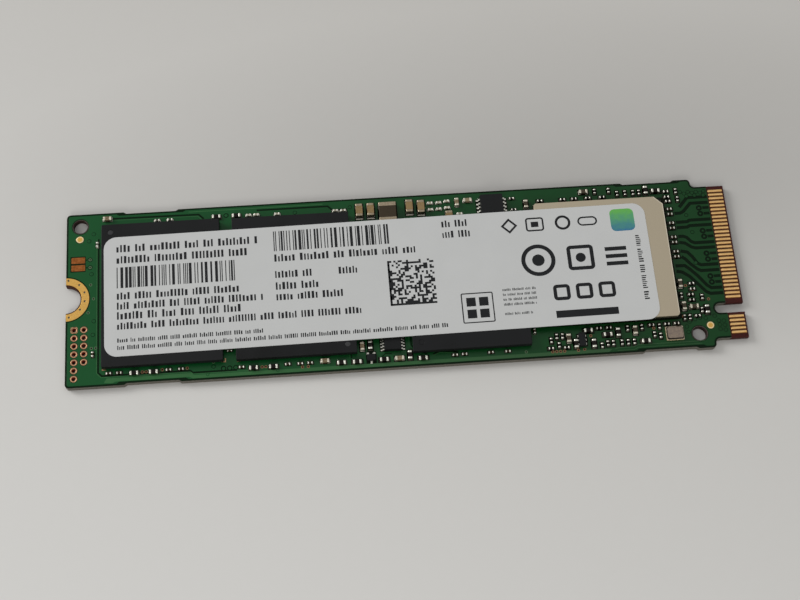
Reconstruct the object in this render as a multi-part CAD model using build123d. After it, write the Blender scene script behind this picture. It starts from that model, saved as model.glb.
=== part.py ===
from build123d import *
import math
import os

# Gumstick solid state drive: a 22 x 80 mm card with a 67-contact edge connector.
# Millimetres. The origin is on the underside, at the middle of the board.
# +X runs towards the connector, +Y across the board, +Z up through the components.

os.makedirs("parts", exist_ok=True)

# The board, to the card standard's sizes.
BOARD_LENGTH = 80.0
BOARD_WIDTH = 22.0
BOARD_TOP = 0.8
BOARD_CORNER_R = 0.5
TONGUE_LENGTH = 4.0
TONGUE_SIDE_STEP = 1.075
TONGUE_BARE_LENGTH = 2.1
TONGUE_BEVEL = 0.12
KEY_INSET = 3.8
KEY_WIDTH = 1.2
KEY_DEPTH = 3.5
NOTCH_R = 1.75
NOTCH_PAD_R = 2.75
LAYER_DEPTH = 0.04
PAD_THICKNESS = 0.03
RECESS_DEPTH = 0.2
RECESS_RAMP = 0.4
RECESS_OVERCUT = 0.1
RECESS_LENGTH = 6.75
RECESS_INSETS = (6.7, 6.0)
TOOLING_HOLE_R = 0.9

LEFT_END = -BOARD_LENGTH / 2
RIGHT_END = BOARD_LENGTH / 2
UPPER_EDGE = BOARD_WIDTH / 2
LOWER_EDGE = -BOARD_WIDTH / 2
SHOULDER_X = RIGHT_END - TONGUE_LENGTH
BARE_X = RIGHT_END - TONGUE_BARE_LENGTH
TONGUE_WIDTH = BOARD_WIDTH - 2 * TONGUE_SIDE_STEP
KEY_Y = KEY_INSET - TONGUE_WIDTH / 2
TOOLING_HOLES = ((LEFT_END + 1.65, UPPER_EDGE - 1.65), (SHOULDER_X - 1.8, LOWER_EDGE + 1.85))

# Places where small parts are measured from: the middle of a long edge, or an end of the board.
UPPER = (0, UPPER_EDGE)
LOWER = (0, LOWER_EDGE)
CONNECTOR = (SHOULDER_X, 0)
NOTCH_END = (LEFT_END, 0)

# The edge contacts: odd numbers on top, even numbers below, half a pitch apart.
CONTACT_PITCH = 0.5
CONTACT_WIDTH = 0.35
CONTACT_LENGTH = 1.8
CONTACT_FRONT_GAP = 0.2
CONTACT_END_CUT = 0.1
CONTACT_KEY_GAP = 0.4
CONTACT_SIDE_INSET = 0.675

# The debug header: a column of seven rings and a column of five.
HEADER_TOP_Y = -3.9
HEADER_PITCH = 1.0
HEADER_INSETS = (1.03, 2.16)
HEADER_COUNTS = (7, 5)
HEADER_HOLE_R = 0.225
HEADER_RING_R = 0.415

SERVICE_PAD_SIZE = (1.6, 0.78)
SERVICE_PAD_INSET = 1.43
SERVICE_PADS = ((LEFT_END + SERVICE_PAD_INSET, 4.95), (LEFT_END + SERVICE_PAD_INSET, 3.97))
FIDUCIAL_R = 0.46
FIDUCIALS = ((LEFT_END + 1.6, UPPER_EDGE - 3.33), (SHOULDER_X - 0.37, LOWER_EDGE + 2.8))

# The four large packages. They all reach the same height, because the label lies flat on them.
PACKAGE_TOP = BOARD_TOP + 1.0
BALL_HEIGHT = 0.22
BALL_R = 0.22
SUBSTRATE_THICKNESS = 0.13
FLASH_SIZE = (14.0, 18.0)
FLASH_DIE = (10.5, 13.0)
FLASH_BALLS = dict(columns=(-5, -4, 4, 5), rows=9, pitch_x=1.0, pitch_y=1.45)
FLASH_LEFT = (-28.7, 0.0)
FLASH_RIGHT = (-13.2, -0.1)
MEMORY_SIZE = (13.9, 10.0)
MEMORY_CENTRE = (7.25, -4.45)
MEMORY_DIE = (9.0, 7.0)
MEMORY_BALLS = dict(columns=(-4, -3, 3, 4), rows=6, pitch_x=1.3, pitch_y=1.4)
CONTROLLER_SIZE = (15.74, 15.57)
CONTROLLER_CENTRE = (24.11, 0.685)
CONTROLLER_DIE = (8.0, 7.0)
CONTROLLER_BALLS = dict(columns=(-5, -4, -3, 3, 4, 5), rows=6, pitch_x=1.35, pitch_y=2.5)
CONTROLLER_SUBSTRATE = 0.3
LID_CHAMFER = 1.0
LID_CORNER_R = 0.4
LID_WALL = 1.2
LID_ROOF = 0.25
DIMPLE_R = 0.3
DIMPLE_DEPTH = 0.04
DIMPLE_INSET = 1.05
DIE_STEP = 0.35
DIE_THICKNESS = 0.1
DIES_IN_STACK = 4

LABEL_SIZE = (65.0, 15.1)
LABEL_CORNER_R = 1.5
LABEL_CENTRE = (-2.85, -0.07)
LABEL_TURN = 0.45
LABEL_THICKNESS = 0.08

# Two-terminal chips by their case size: length, width, height, length of a terminal.
SMALL_CHIP = (0.6, 0.3, 0.3, 0.16)
MEDIUM_CHIP = (1.0, 0.5, 0.45, 0.24)
LARGE_CHIP = (1.6, 0.85, 0.8, 0.3)
BULK_CHIP = (2.5, 2.1, 0.95, 0.5)
BODY_INSET = 0.02

ALONG_X = 0
ALONG_Y = 90

# How far a cut reaches past the face that it opens, and how near two places count as one.
PAST = 1.0
NEAR = 0.01

# How many flat sides stand in for a round outline on the smallest parts.
BALL_SIDES = 6
HEADER_SIDES = 8
FIDUCIAL_SIDES = 16


def slab(centre, size, z_low, z_high):
    """A box between two heights."""
    middle = (z_low + z_high) / 2
    return Pos(centre[0], centre[1], middle) * Box(size[0], size[1], z_high - z_low)


def disc(centre, radius, z_low, z_high):
    """A round plate between two heights."""
    return Pos(centre[0], centre[1], (z_low + z_high) / 2) * Cylinder(radius, z_high - z_low)


def prism(centre, radius, sides, z_low, z_high):
    """A regular prism, for rings and balls that are too small to need a round outline."""
    return Pos(centre[0], centre[1], z_low) * extrude(RegularPolygon(radius, sides), z_high - z_low)


def save(node, solids):
    """Write one node; a list becomes a group of separate solids."""
    shape = Compound(children=solids) if isinstance(solids, list) else solids
    export_step(shape, f"parts/{node}.step")


def header_centres():
    """The header's holes, column by column from the top."""
    centres = []
    for inset, count in zip(HEADER_INSETS, HEADER_COUNTS):
        for row in range(count):
            centres.append((LEFT_END + inset, HEADER_TOP_Y - row * HEADER_PITCH))
    return centres


def contact_centres(side_inset):
    """Middles of one side's contacts, without those that the key slot takes."""
    x = RIGHT_END - CONTACT_FRONT_GAP - CONTACT_LENGTH / 2
    half_row = TONGUE_WIDTH / 2 - side_inset
    count = round(2 * half_row / CONTACT_PITCH) + 1
    rows = [half_row - place * CONTACT_PITCH for place in range(count)]
    return [(x, y) for y in rows if abs(y - KEY_Y) > KEY_WIDTH / 2 + CONTACT_KEY_GAP]


# Circuit board: one outline, rounded at its corners, with every hole cut through it.
def board_outline():
    body_length = SHOULDER_X - LEFT_END
    body = Pos(LEFT_END + body_length / 2, 0) * Rectangle(body_length, BOARD_WIDTH)
    tongue = Pos(SHOULDER_X + TONGUE_LENGTH / 2, 0) * Rectangle(TONGUE_LENGTH, TONGUE_WIDTH)
    outline = body + tongue
    corners = [v for v in outline.vertices() if v.X < RIGHT_END - NEAR]
    return fillet(corners, BOARD_CORNER_R)


def edge_recess(x_low, x_high, side):
    """The shallow bay that a break-off tab leaves in a long edge."""
    outer = side * (BOARD_WIDTH / 2 + RECESS_OVERCUT)
    inner = side * (BOARD_WIDTH / 2 - RECESS_DEPTH)
    left = [(x_low - RECESS_OVERCUT, outer), (x_low + RECESS_RAMP, inner)]
    right = [(x_high - RECESS_RAMP, inner), (x_high + RECESS_OVERCUT, outer)]
    return make_face(Polyline(*left, *right, close=True))


def key_slot():
    """The slot that lets the card into the right socket only: straight, with a round end."""
    round_x = RIGHT_END - KEY_DEPTH + KEY_WIDTH / 2
    length = RIGHT_END + PAST - round_x
    straight = Pos(round_x + length / 2, KEY_Y) * Rectangle(length, KEY_WIDTH)
    return straight + Pos(round_x, KEY_Y) * Circle(KEY_WIDTH / 2)


def circuit_board():
    outline = board_outline()
    recess_starts = (LEFT_END + RECESS_INSETS[0], RIGHT_END - RECESS_INSETS[1] - RECESS_LENGTH)
    for side in (-1, 1):
        for x in recess_starts:
            outline -= edge_recess(x, x + RECESS_LENGTH, side)
    outline -= key_slot()
    outline -= Pos(LEFT_END, 0) * Circle(NOTCH_R)
    for x, y in TOOLING_HOLES:
        outline -= Pos(x, y) * Circle(TOOLING_HOLE_R)
    for x, y in header_centres():
        outline -= Pos(x, y) * RegularPolygon(HEADER_HOLE_R, HEADER_SIDES)
    board = extrude(outline, BOARD_TOP)
    # The plated layers and mask stop short of the contacts, which lie in the thinner tongue.
    bare_centre = (BARE_X + (TONGUE_BARE_LENGTH + PAST) / 2, 0)
    bare_size = (TONGUE_BARE_LENGTH + PAST, BOARD_WIDTH)
    board -= slab(bare_centre, bare_size, BOARD_TOP - LAYER_DEPTH, BOARD_TOP + PAST)
    board -= slab(bare_centre, bare_size, -PAST, LAYER_DEPTH)
    front = [e for e in board.edges().filter_by(Axis.Y) if e.center().X > RIGHT_END - NEAR]
    board = chamfer(front, TONGUE_BEVEL)
    return board - half_ring(-1, LAYER_DEPTH)


def half_ring(z_low, z_high):
    """The gold ring round the screw notch, cut off at the end of the board."""
    ring = disc((LEFT_END, 0), NOTCH_PAD_R, z_low, z_high)
    ring -= disc((LEFT_END, 0), NOTCH_R, z_low - PAST, z_high + PAST)
    on_board = (LEFT_END + NOTCH_PAD_R, 0)
    ring &= slab(on_board, (2 * NOTCH_PAD_R, 3 * NOTCH_PAD_R), z_low - PAST, z_high + PAST)
    return ring.solid()


save("circuit_board", circuit_board())
save("mounting_pad_top", half_ring(BOARD_TOP, BOARD_TOP + PAD_THICKNESS))
save("mounting_pad_bottom", half_ring(LAYER_DEPTH - PAD_THICKNESS, LAYER_DEPTH))


# Edge contacts: strips with blunted inner ends, just inside the board's full thickness.
def contact_row(side_inset, z_low):
    outline = Rectangle(CONTACT_LENGTH, CONTACT_WIDTH)
    inner_corners = [v for v in outline.vertices() if v.X < 0]
    strip = extrude(chamfer(inner_corners, CONTACT_END_CUT), PAD_THICKNESS)
    return [Pos(x, y, z_low) * strip for x, y in contact_centres(side_inset)]


bottom_inset = CONTACT_SIDE_INSET + CONTACT_PITCH / 2
save("top_edge_contacts", contact_row(CONTACT_SIDE_INSET, BOARD_TOP - LAYER_DEPTH))
save("bottom_edge_contacts", contact_row(bottom_inset, LAYER_DEPTH - PAD_THICKNESS))

# Bare pads on the component side.
pad_top = BOARD_TOP + PAD_THICKNESS
rings = []
for centre in header_centres():
    hole = prism(centre, HEADER_HOLE_R, HEADER_SIDES, BOARD_TOP - PAST, pad_top + PAST)
    rings.append(prism(centre, HEADER_RING_R, HEADER_SIDES, BOARD_TOP, pad_top) - hole)
save("header_rings_top", rings)
save("service_pads", [slab(c, SERVICE_PAD_SIZE, BOARD_TOP, pad_top) for c in SERVICE_PADS])
save("fiducial_discs", [prism(c, FIDUCIAL_R, FIDUCIAL_SIDES, BOARD_TOP, pad_top) for c in FIDUCIALS])


# Ball grid packages: balls, a laminate substrate, dies on it and a moulded or metal cover.
def ball_grid(centre, columns, rows, pitch_x, pitch_y):
    balls = []
    for x in columns:
        for row in range(rows):
            y = (row - (rows - 1) / 2) * pitch_y
            place = (centre[0] + x * pitch_x, centre[1] + y)
            balls.append(prism(place, BALL_R, BALL_SIDES, BOARD_TOP, BOARD_TOP + BALL_HEIGHT))
    return balls


def die_stack(centre, size, count, z_low):
    """Thin dies laid like stairs, each set back to leave room for its bond wires."""
    dies = []
    for level in range(count):
        shift = (level - (count - 1) / 2) * DIE_STEP
        low = z_low + level * DIE_THICKNESS
        dies.append(slab((centre[0] + shift, centre[1]), size, low, low + DIE_THICKNESS))
    return dies


def moulded_package(name, centre, size, dies, dimple_corner):
    """Substrate, dies and the mould cast round them, with a round mark in one corner."""
    substrate_low = BOARD_TOP + BALL_HEIGHT
    mould_low = substrate_low + SUBSTRATE_THICKNESS
    mould = slab(centre, size, mould_low, PACKAGE_TOP)
    for die in dies:
        mould -= die
    dimple_x = centre[0] + dimple_corner[0] * (size[0] / 2 - DIMPLE_INSET)
    dimple_y = centre[1] + dimple_corner[1] * (size[1] / 2 - DIMPLE_INSET)
    mould -= disc((dimple_x, dimple_y), DIMPLE_R, PACKAGE_TOP - DIMPLE_DEPTH, PACKAGE_TOP + PAST)
    save(f"{name}_substrate", slab(centre, size, substrate_low, mould_low))
    save(f"{name}_mould", mould)
    save(f"{name}_dies", dies)


mould_floor = BOARD_TOP + BALL_HEIGHT + SUBSTRATE_THICKNESS
flash_places = (("flash_left", FLASH_LEFT, (-1, 1)), ("flash_right", FLASH_RIGHT, (1, -1)))
for name, centre, dimple_corner in flash_places:
    flash_dies = die_stack(centre, FLASH_DIE, DIES_IN_STACK, mould_floor)
    moulded_package(name, centre, FLASH_SIZE, flash_dies, dimple_corner)
    save(f"{name}_balls", ball_grid(centre, **FLASH_BALLS))
memory_die = die_stack(MEMORY_CENTRE, MEMORY_DIE, 1, mould_floor)
moulded_package("memory", MEMORY_CENTRE, MEMORY_SIZE, memory_die, (-1, -1))
save("memory_balls", ball_grid(MEMORY_CENTRE, **MEMORY_BALLS))


# Controller: a metal lid, hollow underneath, over a bare die on its substrate.
def controller_lid(z_low):
    outline = Rectangle(*CONTROLLER_SIZE)
    round_corners = [v for v in outline.vertices() if v.X < 0 or v.Y < 0]
    outline = fillet(round_corners, LID_CORNER_R)
    cut_corner = max(outline.vertices(), key=lambda v: v.X + v.Y)
    outline = chamfer([cut_corner], LID_CHAMFER)
    place = Pos(CONTROLLER_CENTRE[0], CONTROLLER_CENTRE[1], z_low)
    lid = place * extrude(outline, PACKAGE_TOP - z_low)
    inside = (CONTROLLER_SIZE[0] - 2 * LID_WALL, CONTROLLER_SIZE[1] - 2 * LID_WALL)
    return lid - slab(CONTROLLER_CENTRE, inside, z_low - PAST, PACKAGE_TOP - LID_ROOF)


controller_low = BOARD_TOP + BALL_HEIGHT
lid_low = controller_low + CONTROLLER_SUBSTRATE
save("controller_substrate", slab(CONTROLLER_CENTRE, CONTROLLER_SIZE, controller_low, lid_low))
save("controller_lid", controller_lid(lid_low))
save("controller_die", slab(CONTROLLER_CENTRE, CONTROLLER_DIE, lid_low, PACKAGE_TOP - LID_ROOF))
save("controller_balls", ball_grid(CONTROLLER_CENTRE, **CONTROLLER_BALLS))

# Label: one thin sheet with round corners, laid a touch askew.
label_outline = RectangleRounded(*LABEL_SIZE, LABEL_CORNER_R)
label_place = Pos(LABEL_CENTRE[0], LABEL_CENTRE[1], PACKAGE_TOP) * Rot(0, 0, LABEL_TURN)
save("label", label_place * extrude(label_outline, LABEL_THICKNESS))


# Leaded chips: drafted bodies and gull-wing leads, each one bent strip with a Z-shaped profile.
CHIP_STANDOFF = 0.05
MOULD_DRAFT = 8.0
LEAD_SHOULDER_SHARE = 0.45
POWER_CENTRE = (11.3, UPPER_EDGE - 2.28)
POWER_SIZE = (2.8, 3.0)
POWER_TOP = BOARD_TOP + 0.85
POWER_LEADS = dict(pitch=0.5, count=5, reach=0.42, width=0.22, rise=0.4, thickness=0.1)
REGULATOR_CENTRE = (-2.03, LOWER_EDGE + 3.55)
REGULATOR_SIZE = (2.0, 3.1)
REGULATOR_TOP = BOARD_TOP + 0.75
REGULATOR_LEADS = dict(pitch=0.38, count=8, reach=0.42, width=0.16, rise=0.35, thickness=0.08)


def gull_lead(reach, width, rise, thickness):
    """A lead that leaves the body along +X, steps down and ends in a foot on the board."""
    knee = reach * LEAD_SHOULDER_SHARE
    inner = knee - thickness
    under = rise - thickness
    upper_side = [(0, rise), (knee, rise), (knee, thickness), (reach, thickness)]
    lower_side = [(reach, 0), (inner, 0), (inner, under), (0, under)]
    profile = make_face(Polyline(*upper_side, *lower_side, close=True))
    strip = extrude(Plane.XZ * profile, width / 2, both=True)
    return Pos(0, 0, BOARD_TOP) * strip


def drafted_body(centre, size, z_low, z_high, leads):
    """A body that draws in above and below the straight band where its leads come out."""
    band_high = BOARD_TOP + leads["rise"]
    band_low = band_high - leads["thickness"]
    sections = []
    for z in (z_low, band_low, band_high, z_high):
        from_band = max(band_low - z, z - band_high, 0)
        inset = from_band * math.tan(math.radians(MOULD_DRAFT))
        section = Rectangle(size[0] - 2 * inset, size[1] - 2 * inset)
        sections.append(Pos(centre[0], centre[1], z) * section)
    return loft(sections, ruled=True)


def lead_rows(centre, size, pitch, count, **lead):
    """Two facing rows, set out evenly about the middle of the body."""
    strip = gull_lead(**lead)
    leads = []
    for turn, side in ((0, 1), (180, -1)):
        for index in range(count):
            y = centre[1] + (index - (count - 1) / 2) * pitch
            leads.append(Pos(centre[0] + side * size[0] / 2, y) * Rot(0, 0, turn) * strip)
    return leads


body_low = BOARD_TOP + CHIP_STANDOFF
save("power_chip_body", drafted_body(POWER_CENTRE, POWER_SIZE, body_low, POWER_TOP, POWER_LEADS))
save("power_chip_leads", lead_rows(POWER_CENTRE, POWER_SIZE, **POWER_LEADS))
regulator = drafted_body(REGULATOR_CENTRE, REGULATOR_SIZE, body_low, REGULATOR_TOP, REGULATOR_LEADS)
save("regulator_body", regulator)
save("regulator_leads", lead_rows(REGULATOR_CENTRE, REGULATOR_SIZE, **REGULATOR_LEADS))

# Transistor: two legs on the inner side, one on the outer.
TRANSISTOR_CENTRE = (-4.6, LOWER_EDGE + 1.35)
TRANSISTOR_SIZE = (1.05, 0.8)
TRANSISTOR_TOP = BOARD_TOP + 0.5
TRANSISTOR_LEADS = dict(reach=0.3, width=0.25, rise=0.25, thickness=0.1)
LEG_SPREAD = 0.38
leg = gull_lead(**TRANSISTOR_LEADS)
legs = []
for shift, side in ((-LEG_SPREAD, 1), (LEG_SPREAD, 1), (0, -1)):
    leg_x = TRANSISTOR_CENTRE[0] + shift
    leg_y = TRANSISTOR_CENTRE[1] + side * TRANSISTOR_SIZE[1] / 2
    legs.append(Pos(leg_x, leg_y) * Rot(0, 0, side * ALONG_Y) * leg)
body_at = (TRANSISTOR_CENTRE, TRANSISTOR_SIZE)
save("transistor_body", drafted_body(*body_at, BOARD_TOP, TRANSISTOR_TOP, TRANSISTOR_LEADS))
save("transistor_leads", legs)

# Load switch: a flat sawn body with three small terminals along each long side.
SWITCH_CENTRE = (20.2, LOWER_EDGE + 1.92)
SWITCH_SIZE = (0.75, 1.65)
SWITCH_TOP = BOARD_TOP + 0.5
SWITCH_PITCH = 0.5
SWITCH_TERMINAL = (0.12, 0.24)
SWITCH_TERMINAL_TOP = BOARD_TOP + 0.14
switch_terminals = []
for side in (-1, 1):
    terminal_x = SWITCH_CENTRE[0] + side * (SWITCH_SIZE[0] + SWITCH_TERMINAL[0]) / 2
    for place in (-1, 0, 1):
        terminal_at = (terminal_x, SWITCH_CENTRE[1] + place * SWITCH_PITCH)
        switch_terminals.append(slab(terminal_at, SWITCH_TERMINAL, BOARD_TOP, SWITCH_TERMINAL_TOP))
save("switch_body", slab(SWITCH_CENTRE, SWITCH_SIZE, BOARD_TOP, SWITCH_TOP))
save("switch_terminals", switch_terminals)

# Clock crystal: a ceramic tray with a metal lid sealed on it.
CRYSTAL_CENTRE = (31.2, LOWER_EDGE + 2.0)
CRYSTAL_SIZE = (2.05, 1.65)
CRYSTAL_LID = (1.8, 1.35)
CRYSTAL_LID_R = 0.2
CRYSTAL_BASE_TOP = BOARD_TOP + 0.3
CRYSTAL_LID_TOP = BOARD_TOP + 0.5
save("crystal_base", slab(CRYSTAL_CENTRE, CRYSTAL_SIZE, BOARD_TOP, CRYSTAL_BASE_TOP))
crystal_lid = extrude(RectangleRounded(*CRYSTAL_LID, CRYSTAL_LID_R), CRYSTAL_LID_TOP - CRYSTAL_BASE_TOP)
save("crystal_lid", Pos(CRYSTAL_CENTRE[0], CRYSTAL_CENTRE[1], CRYSTAL_BASE_TOP) * crystal_lid)


# Two-terminal chips: a body between two end caps, all standing on the board.
def chip(x, y, turn, case):
    length, width, height, cap = case
    place = Pos(x, y) * Rot(0, 0, turn)
    body_size = (length - 2 * cap, width - 2 * BODY_INSET)
    body = place * slab((0, 0), body_size, BOARD_TOP, BOARD_TOP + height - BODY_INSET)
    ends = []
    for side in (-1, 1):
        cap_at = (side * (length - cap) / 2, 0)
        ends.append(place * slab(cap_at, (cap, width), BOARD_TOP, BOARD_TOP + height))
    return body, ends


def chip_group(name, case, places_from):
    """Chips of one kind, with each list of places measured from its own point of the board."""
    bodies = []
    terminals = []
    for datum, places in places_from.items():
        for x, y, turn in places:
            body, ends = chip(datum[0] + x, datum[1] + y, turn, case)
            bodies.append(body)
            terminals.extend(ends)
    save(f"{name}_bodies", bodies)
    save(f"{name}_terminals", terminals)


BULK_PLACE = (-1.4, UPPER_EDGE - 2.35, ALONG_Y)
bulk_body, bulk_ends = chip(*BULK_PLACE, BULK_CHIP)
save("bulk_capacitor_body", bulk_body)
save("bulk_capacitor_terminals", bulk_ends)

chip_group(
    "large_capacitor",
    LARGE_CHIP,
    {
        UPPER: [
            (-4.83, -1.85, ALONG_Y), (-3.45, -1.85, ALONG_Y),
            (1.27, -1.68, ALONG_Y), (2.67, -1.82, ALONG_Y),
            (6, -3.45, ALONG_Y),
        ],
    },
)

# Medium chips: ceramic capacitors, and ferrites and resistors with dark bodies.
chip_group(
    "medium_capacitor",
    MEDIUM_CHIP,
    {
        UPPER: [
            (-35.11, -0.88, ALONG_X), (7.08, -1.36, ALONG_Y),
            (8.41, -1.19, ALONG_X), (15.47, -2.16, ALONG_Y),
            (22.67, -0.97, ALONG_X),
        ],
        LOWER: [
            (-10, 1.32, ALONG_X), (-5.58, 2.82, ALONG_Y),
            (-1.32, 1.07, ALONG_X), (18.66, 2.19, ALONG_Y),
            (26.59, 2.67, ALONG_Y),
        ],
        CONNECTOR: [
            (-3.23, -2.78, ALONG_Y), (-3.19, -5.66, ALONG_Y), (-1.99, -5.79, ALONG_X),
        ],
    },
)
chip_group(
    "medium_ferrite",
    MEDIUM_CHIP,
    {
        UPPER: [
            (-22.06, -1.44, ALONG_X), (-19.66, -1.44, ALONG_X),
            (31.52, -1.39, ALONG_X), (30.3, -1.24, ALONG_Y),
        ],
        LOWER: [
            (-32.02, 1.32, ALONG_X), (-29.78, 1.32, ALONG_X),
            (-18.27, 1.03, ALONG_X), (-15.98, 1.03, ALONG_X),
            (-8.1, 0.98, ALONG_X), (-6.26, 0.96, ALONG_X),
            (-4.63, 2.89, ALONG_Y), (-3.12, 1.03, ALONG_X),
            (-0.08, 1.39, ALONG_Y), (1.42, 0.9, ALONG_X),
            (19.45, 1.47, ALONG_Y), (21.05, 3.02, ALONG_X),
            (23.3, 2.37, ALONG_X), (24.54, 2.55, ALONG_Y),
            (21.55, 1.37, ALONG_Y), (27.68, 1.27, ALONG_X),
        ],
        CONNECTOR: [
            (-0.5, -6.24, ALONG_Y),
        ],
    },
)

# Small chips, one group for each stretch of the board.
chip_group(
    "upper_small_capacitor",
    SMALL_CHIP,
    {
        UPPER: [
            (-29.16, -1.44, ALONG_X), (-27.63, -1.44, ALONG_X),
            (-17.25, -1.44, ALONG_X), (-18.18, -1.44, ALONG_X),
            (-14.74, -1.51, ALONG_X), (-7.7, -1.51, ALONG_X),
            (-6.75, -1.54, ALONG_X), (3.82, -1.24, ALONG_X),
            (4.87, -1.24, ALONG_X), (3.82, -2.11, ALONG_X),
            (4.84, -2.09, ALONG_X), (5.88, -1.11, ALONG_X),
            (5.88, -1.99, ALONG_X), (7.32, -2.9, ALONG_X),
        ],
        NOTCH_END: [
            (3.68, 6.83, ALONG_Y),
        ],
    },
)
chip_group(
    "upper_small_resistor",
    SMALL_CHIP,
    {
        UPPER: [
            (13.82, -1.26, ALONG_X), (13.93, -2.78, ALONG_X),
            (17.23, -1.8, ALONG_X), (20.02, -1.8, ALONG_X),
            (21.44, -1.81, ALONG_X), (23.14, -1.8, ALONG_X),
            (24.88, -1.8, ALONG_X), (24.07, -0.97, ALONG_Y),
            (25.8, -0.97, ALONG_Y), (26.8, -1.44, ALONG_Y),
            (27.77, -1.41, ALONG_Y), (28.77, -1.44, ALONG_Y),
            (29.5, -1.44, ALONG_Y),
        ],
    },
)
chip_group(
    "lower_small_capacitor",
    SMALL_CHIP,
    {
        LOWER: [
            (-34.95, 1.49, ALONG_X), (-33.75, 1.49, ALONG_X),
            (-28.06, 1.49, ALONG_X), (-26.63, 1.49, ALONG_X),
            (-20.98, 3.39, ALONG_X), (-19.65, 1.24, ALONG_X),
            (-14.32, 1.24, ALONG_X), (-12.86, 1.22, ALONG_X),
            (-11.72, 1.22, ALONG_X), (5.17, 1.07, ALONG_X),
            (6.27, 1.1, ALONG_X), (9.36, 1.1, ALONG_X),
            (11.36, 1.1, ALONG_X), (14.75, 3.39, ALONG_Y),
        ],
        NOTCH_END: [
            (3.19, -7.06, ALONG_Y),
        ],
    },
)
chip_group(
    "lower_small_resistor",
    SMALL_CHIP,
    {
        LOWER: [
            (16.58, 2.06, ALONG_Y), (17.27, 2.52, ALONG_Y),
            (17.95, 2.52, ALONG_Y), (16.45, 1.1, ALONG_X),
            (17.45, 1.44, ALONG_Y), (18.3, 1.1, ALONG_X),
            (22.34, 3.24, ALONG_X), (23.52, 3.24, ALONG_X),
            (25.73, 3.01, ALONG_Y), (27.43, 3.04, ALONG_Y),
            (28.6, 3.24, ALONG_X), (29.53, 2.99, ALONG_Y),
            (30.45, 3.24, ALONG_X), (31.6, 3.24, ALONG_X),
            (22.49, 1.07, ALONG_Y), (23.19, 1.29, ALONG_Y),
            (23.84, 1.29, ALONG_Y), (24.86, 1.29, ALONG_Y),
            (25.6, 1.29, ALONG_Y), (26.33, 1.29, ALONG_Y),
            (28.83, 2.04, ALONG_Y), (29.53, 1.84, ALONG_Y),
        ],
    },
)
chip_group(
    "connector_small_resistor",
    SMALL_CHIP,
    {
        CONNECTOR: [
            (-3.2, 9.46, ALONG_X), (-3.2, 8.74, ALONG_X),
            (-3.13, 8.14, ALONG_X), (-1.98, 9.46, ALONG_Y),
            (-1.9, 8.36, ALONG_Y), (-1.86, -2.82, ALONG_X),
            (-1.86, -3.52, ALONG_X), (-2.15, -4.22, ALONG_X),
            (-2.15, -4.91, ALONG_X), (-3.3, -4.27, ALONG_Y),
            (-0.84, -4.62, ALONG_Y), (-1.1, -6.26, ALONG_Y),
            (-3.33, -7.08, ALONG_Y), (-2.68, -7.08, ALONG_Y), (-1.72, -6.95, ALONG_X),
        ],
    },
)

# Coupling capacitors: four pairs, one for each pair of data lines.
COUPLING_INSET = 3.11
COUPLING_PAIR_TOPS = (7.08, 5.2, 3.32, 1.43)
COUPLING_STEP = 0.67
coupling_places = []
for pair_top in COUPLING_PAIR_TOPS:
    coupling_places.append((-COUPLING_INSET, pair_top, ALONG_X))
    coupling_places.append((-COUPLING_INSET, pair_top - COUPLING_STEP, ALONG_X))
chip_group("coupling_capacitor", SMALL_CHIP, {CONNECTOR: coupling_places})
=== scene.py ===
# %% [markdown]
# # A gumstick solid state drive
# A thin green circuit board carries four flat packages under one long printed label. It ends in
# a row of gold contacts at one side and a gold half ring for a screw at the other. The packed
# solids give every place and size. This notebook adds what they leave plain: the copper and
# mask of the board, solder, rounded edges, print and finishes.

# %% Load the frame
import math
import random

import bmesh
import bpy
from mathutils import Matrix, Vector


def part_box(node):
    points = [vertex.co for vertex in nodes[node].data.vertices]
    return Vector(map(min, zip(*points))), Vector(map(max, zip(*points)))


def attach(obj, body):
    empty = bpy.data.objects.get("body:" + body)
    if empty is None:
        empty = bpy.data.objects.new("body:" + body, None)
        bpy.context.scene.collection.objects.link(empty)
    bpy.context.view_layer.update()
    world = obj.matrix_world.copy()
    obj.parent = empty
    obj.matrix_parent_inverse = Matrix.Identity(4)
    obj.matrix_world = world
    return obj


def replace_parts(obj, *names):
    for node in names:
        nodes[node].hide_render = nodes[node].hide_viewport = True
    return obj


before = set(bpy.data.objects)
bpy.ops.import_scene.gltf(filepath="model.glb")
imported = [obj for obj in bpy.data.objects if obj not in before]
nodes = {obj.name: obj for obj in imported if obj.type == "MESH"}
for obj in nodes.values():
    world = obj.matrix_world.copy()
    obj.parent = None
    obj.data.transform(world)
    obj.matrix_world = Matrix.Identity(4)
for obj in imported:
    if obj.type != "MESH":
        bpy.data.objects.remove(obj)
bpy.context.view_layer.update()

MM = 0.001


def in_mm(point):
    """A point in millimetres, rounded for printing."""
    return [round(c / MM, 3) for c in point]


# %% [markdown]
# ## The camera
# The camera stands nearly above the board and a little in front of it, as someone who holds a
# phone over a desk. It could be placed by eye, but a direction, a distance and a roll are
# clearer, because each can be changed alone.

# %% Place the camera
VIEW_AZIMUTH = math.radians(-7.357)
VIEW_ELEVATION = math.radians(68.198)
VIEW_ROLL = math.radians(3.307)
VIEW_DISTANCE = 165.66 * MM
VIEW_TARGET = Vector((-0.737, -2.594, 0.8)) * MM
LENS_MM = 62.994
SENSOR_MM = 36

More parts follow.
